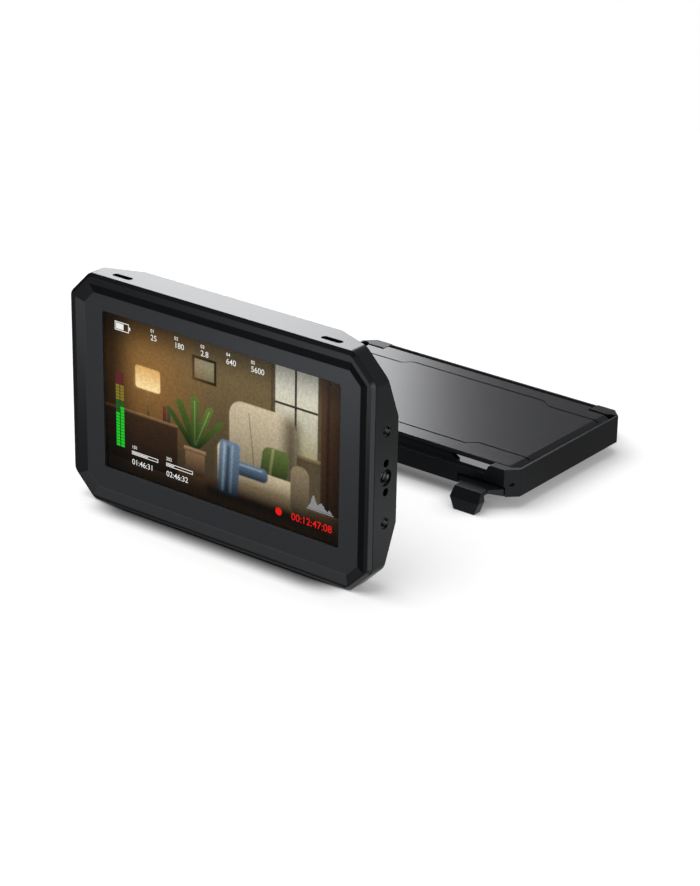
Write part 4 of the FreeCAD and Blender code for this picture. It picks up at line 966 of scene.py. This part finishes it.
front_shape = chain(room, "MULTIPLY", in_front, below_top)
front_card = chain(room, "MULTIPLY", front_shape, chain(room, "ADD", rightward, upward))
upper_card = chain(room, "MULTIPLY", chain(room, "MULTIPLY", above_table, leftward), in_upper_front)
cards = chain(room, "ADD", front_card, upper_card)
in_mirror = chain(room, "ADD", chain(room, "ADD", cards, below), rear)
room_output = room.nodes.new("ShaderNodeOutputWorld")
room_path = room.nodes.new("ShaderNodeLightPath")
glossy = add_node(room, "ShaderNodeMix", values={"A": ROOM_FILL})
seen_white = add_node(room, "ShaderNodeMix", values={"B": 1.0})
background = add_node(room, "ShaderNodeBackground", values={"Color": NEUTRAL})
room.links.new(room_path.outputs["Is Glossy Ray"], glossy.inputs["Factor"])
room.links.new(in_mirror, glossy.inputs["B"])
room.links.new(room_path.outputs["Is Camera Ray"], seen_white.inputs["Factor"])
room.links.new(glossy.outputs["Result"], seen_white.inputs["A"])
room.links.new(seen_white.outputs["Result"], background.inputs["Strength"])
room.links.new(background.outputs[0], room_output.inputs["Surface"])
print("room", len(room.nodes), "nodes")

# %% [markdown]
# Two pale cards lie on the floor, one in front of the monitor and one at its right. Only reflections show
# them: the flat panel round the screen grows lighter towards its upper right, and the right side towards
# its foot. Lamps there would light the floor too, so each card is a sheet with a light-emitting finish that
# fades out from its middle. It is see-through, so that the room still shows in the mirror behind it.

# %% Cards on the floor
SHEET_LIFT = 0.5 * MM


def square(name, half, centre, material):
    """A flat square in metres with a material."""
    mesh = bpy.data.meshes.new(name)
    corners = [(-half, -half, 0), (half, -half, 0), (half, half, 0), (-half, half, 0)]
    mesh.from_pydata(corners, [], [(0, 1, 2, 3)])
    mesh.materials.append(material)
    obj = bpy.data.objects.new(name, mesh)
    obj.location = centre
    scene.collection.objects.link(obj)
    print(name, round(2 * half, 3), "m wide")
    return obj


def card_sheet(name, x, y, half, light):
    """A sheet of light on the floor that only reflections show."""
    paint, tree, shader, output = new_material(name)
    tree.nodes.remove(shader)
    place = add_node(tree, "ShaderNodeTexCoord")
    radius = add_node(tree, "ShaderNodeVectorMath", {"operation": "LENGTH"})
    shine = add_node(tree, "ShaderNodeEmission", values={"Color": NEUTRAL})
    see_through = add_node(tree, "ShaderNodeBsdfTransparent")
    both = add_node(tree, "ShaderNodeAddShader")
    tree.links.new(place.outputs["Object"], radius.inputs[0])
    fade_out = smooth_step(tree, radius.outputs["Value"], (0.0, half), light, 0.0)
    tree.links.new(fade_out, shine.inputs["Strength"])
    tree.links.new(shine.outputs[0], both.inputs[0])
    tree.links.new(see_through.outputs[0], both.inputs[1])
    tree.links.new(both.outputs[0], output.inputs["Surface"])
    sheet = square(name, half, (x, y, SHEET_LIFT), paint)
    sheet.visible_camera = False
    sheet.visible_diffuse = False
    sheet.visible_transmission = False
    sheet.visible_shadow = False


card_sheet("front_sheet", x=-0.06, y=-0.24, half=0.15, light=2.2)
card_sheet("right_sheet", x=0.10, y=0.055, half=0.09, light=0.3)

# %% [markdown]
# In the photo the floor darkens only close to a piece that stands on it. Lamps alone would throw wider
# shadows, so the white is multiplied by a power of the occlusion within a short reach. The hood stands
# clear of the floor, so the power is lower behind the monitor, and it fades where the body's corners rise
# from the floor.

# %% Contact tone of the floor
CONTACT_REACH = 11.0 * MM
CONTACT_SAMPLES = 16
CONTACT_DEPTH = 4.7
CONTACT_DEPTH_HOOD = 0.95
CONTACT_SPAN = (10.0 * MM, 50.0 * MM)
CONTACT_END_SPAN = (42.0 * MM, 62.0 * MM)

floor_paint, floor_tree, floor_shader, floor_output = new_material("floor")
floor_tree.nodes.remove(floor_shader)
contact = add_node(
    floor_tree, "ShaderNodeAmbientOcclusion", {"samples": CONTACT_SAMPLES}, {"Distance": CONTACT_REACH}
)
floor_place = add_node(floor_tree, "ShaderNodeTexCoord")
floor_axes = add_node(floor_tree, "ShaderNodeSeparateXYZ")
floor_tree.links.new(floor_place.outputs["Object"], floor_axes.inputs[0])
backward = smooth_step(floor_tree, floor_axes.outputs["Y"], CONTACT_SPAN, CONTACT_DEPTH, CONTACT_DEPTH_HOOD)
sideways = chain(floor_tree, "ABSOLUTE", floor_axes.outputs["X"])
to_corner = smooth_step(floor_tree, sideways, CONTACT_END_SPAN, 1.0, 0.0)
contact_depth = chain(floor_tree, "MULTIPLY", backward, to_corner)
contact_tone = chain(floor_tree, "POWER", contact.outputs["AO"], contact_depth)
print("contact tone reaches", round(CONTACT_REACH / MM, 1), "mm")

# %% [markdown]
# The floor is white to the camera and greyer to the pieces that it lights from below. A quarter of the
# light that the camera sees from it is its own glow, like a lit table, and far away it all is, so that the
# floor turns into plain white. It stays out of the reflections, so that the cards show in them.

# %% Floor
FLOOR_SIZE = 12.0
FLOOR_WHITE = 0.92
FLOOR_BOUNCE = 0.3
FLOOR_GLOW = 0.25
FAR_SPAN = (0.4, 0.9)

in_view = add_node(floor_tree, "ShaderNodeBsdfDiffuse")
own_glow = add_node(floor_tree, "ShaderNodeEmission", values={"Strength": 1.0})
bounce = add_node(floor_tree, "ShaderNodeBsdfDiffuse", values={"Color": (FLOOR_BOUNCE,) * 3 + (1.0,)})
floor_path = add_node(floor_tree, "ShaderNodeLightPath")
floor_radius = add_node(floor_tree, "ShaderNodeVectorMath", {"operation": "LENGTH"})
seen_floor = add_node(floor_tree, "ShaderNodeMixShader")
floor_mix = add_node(floor_tree, "ShaderNodeMixShader")
floor_tree.links.new(chain(floor_tree, "MULTIPLY", contact_tone, FLOOR_WHITE), in_view.inputs["Color"])
floor_tree.links.new(contact_tone, own_glow.inputs["Color"])
floor_tree.links.new(floor_place.outputs["Object"], floor_radius.inputs[0])
far_share = smooth_step(floor_tree, floor_radius.outputs["Value"], FAR_SPAN, FLOOR_GLOW, 1.0)
floor_tree.links.new(far_share, seen_floor.inputs[0])
floor_tree.links.new(in_view.outputs[0], seen_floor.inputs[1])
floor_tree.links.new(own_glow.outputs[0], seen_floor.inputs[2])
floor_tree.links.new(floor_path.outputs["Is Camera Ray"], floor_mix.inputs[0])
floor_tree.links.new(bounce.outputs[0], floor_mix.inputs[1])
floor_tree.links.new(seen_floor.outputs[0], floor_mix.inputs[2])
floor_tree.links.new(floor_mix.outputs[0], floor_output.inputs["Surface"])
floor = square("floor", FLOOR_SIZE / 2, (0, 0, 0), floor_paint)
floor.visible_glossy = False
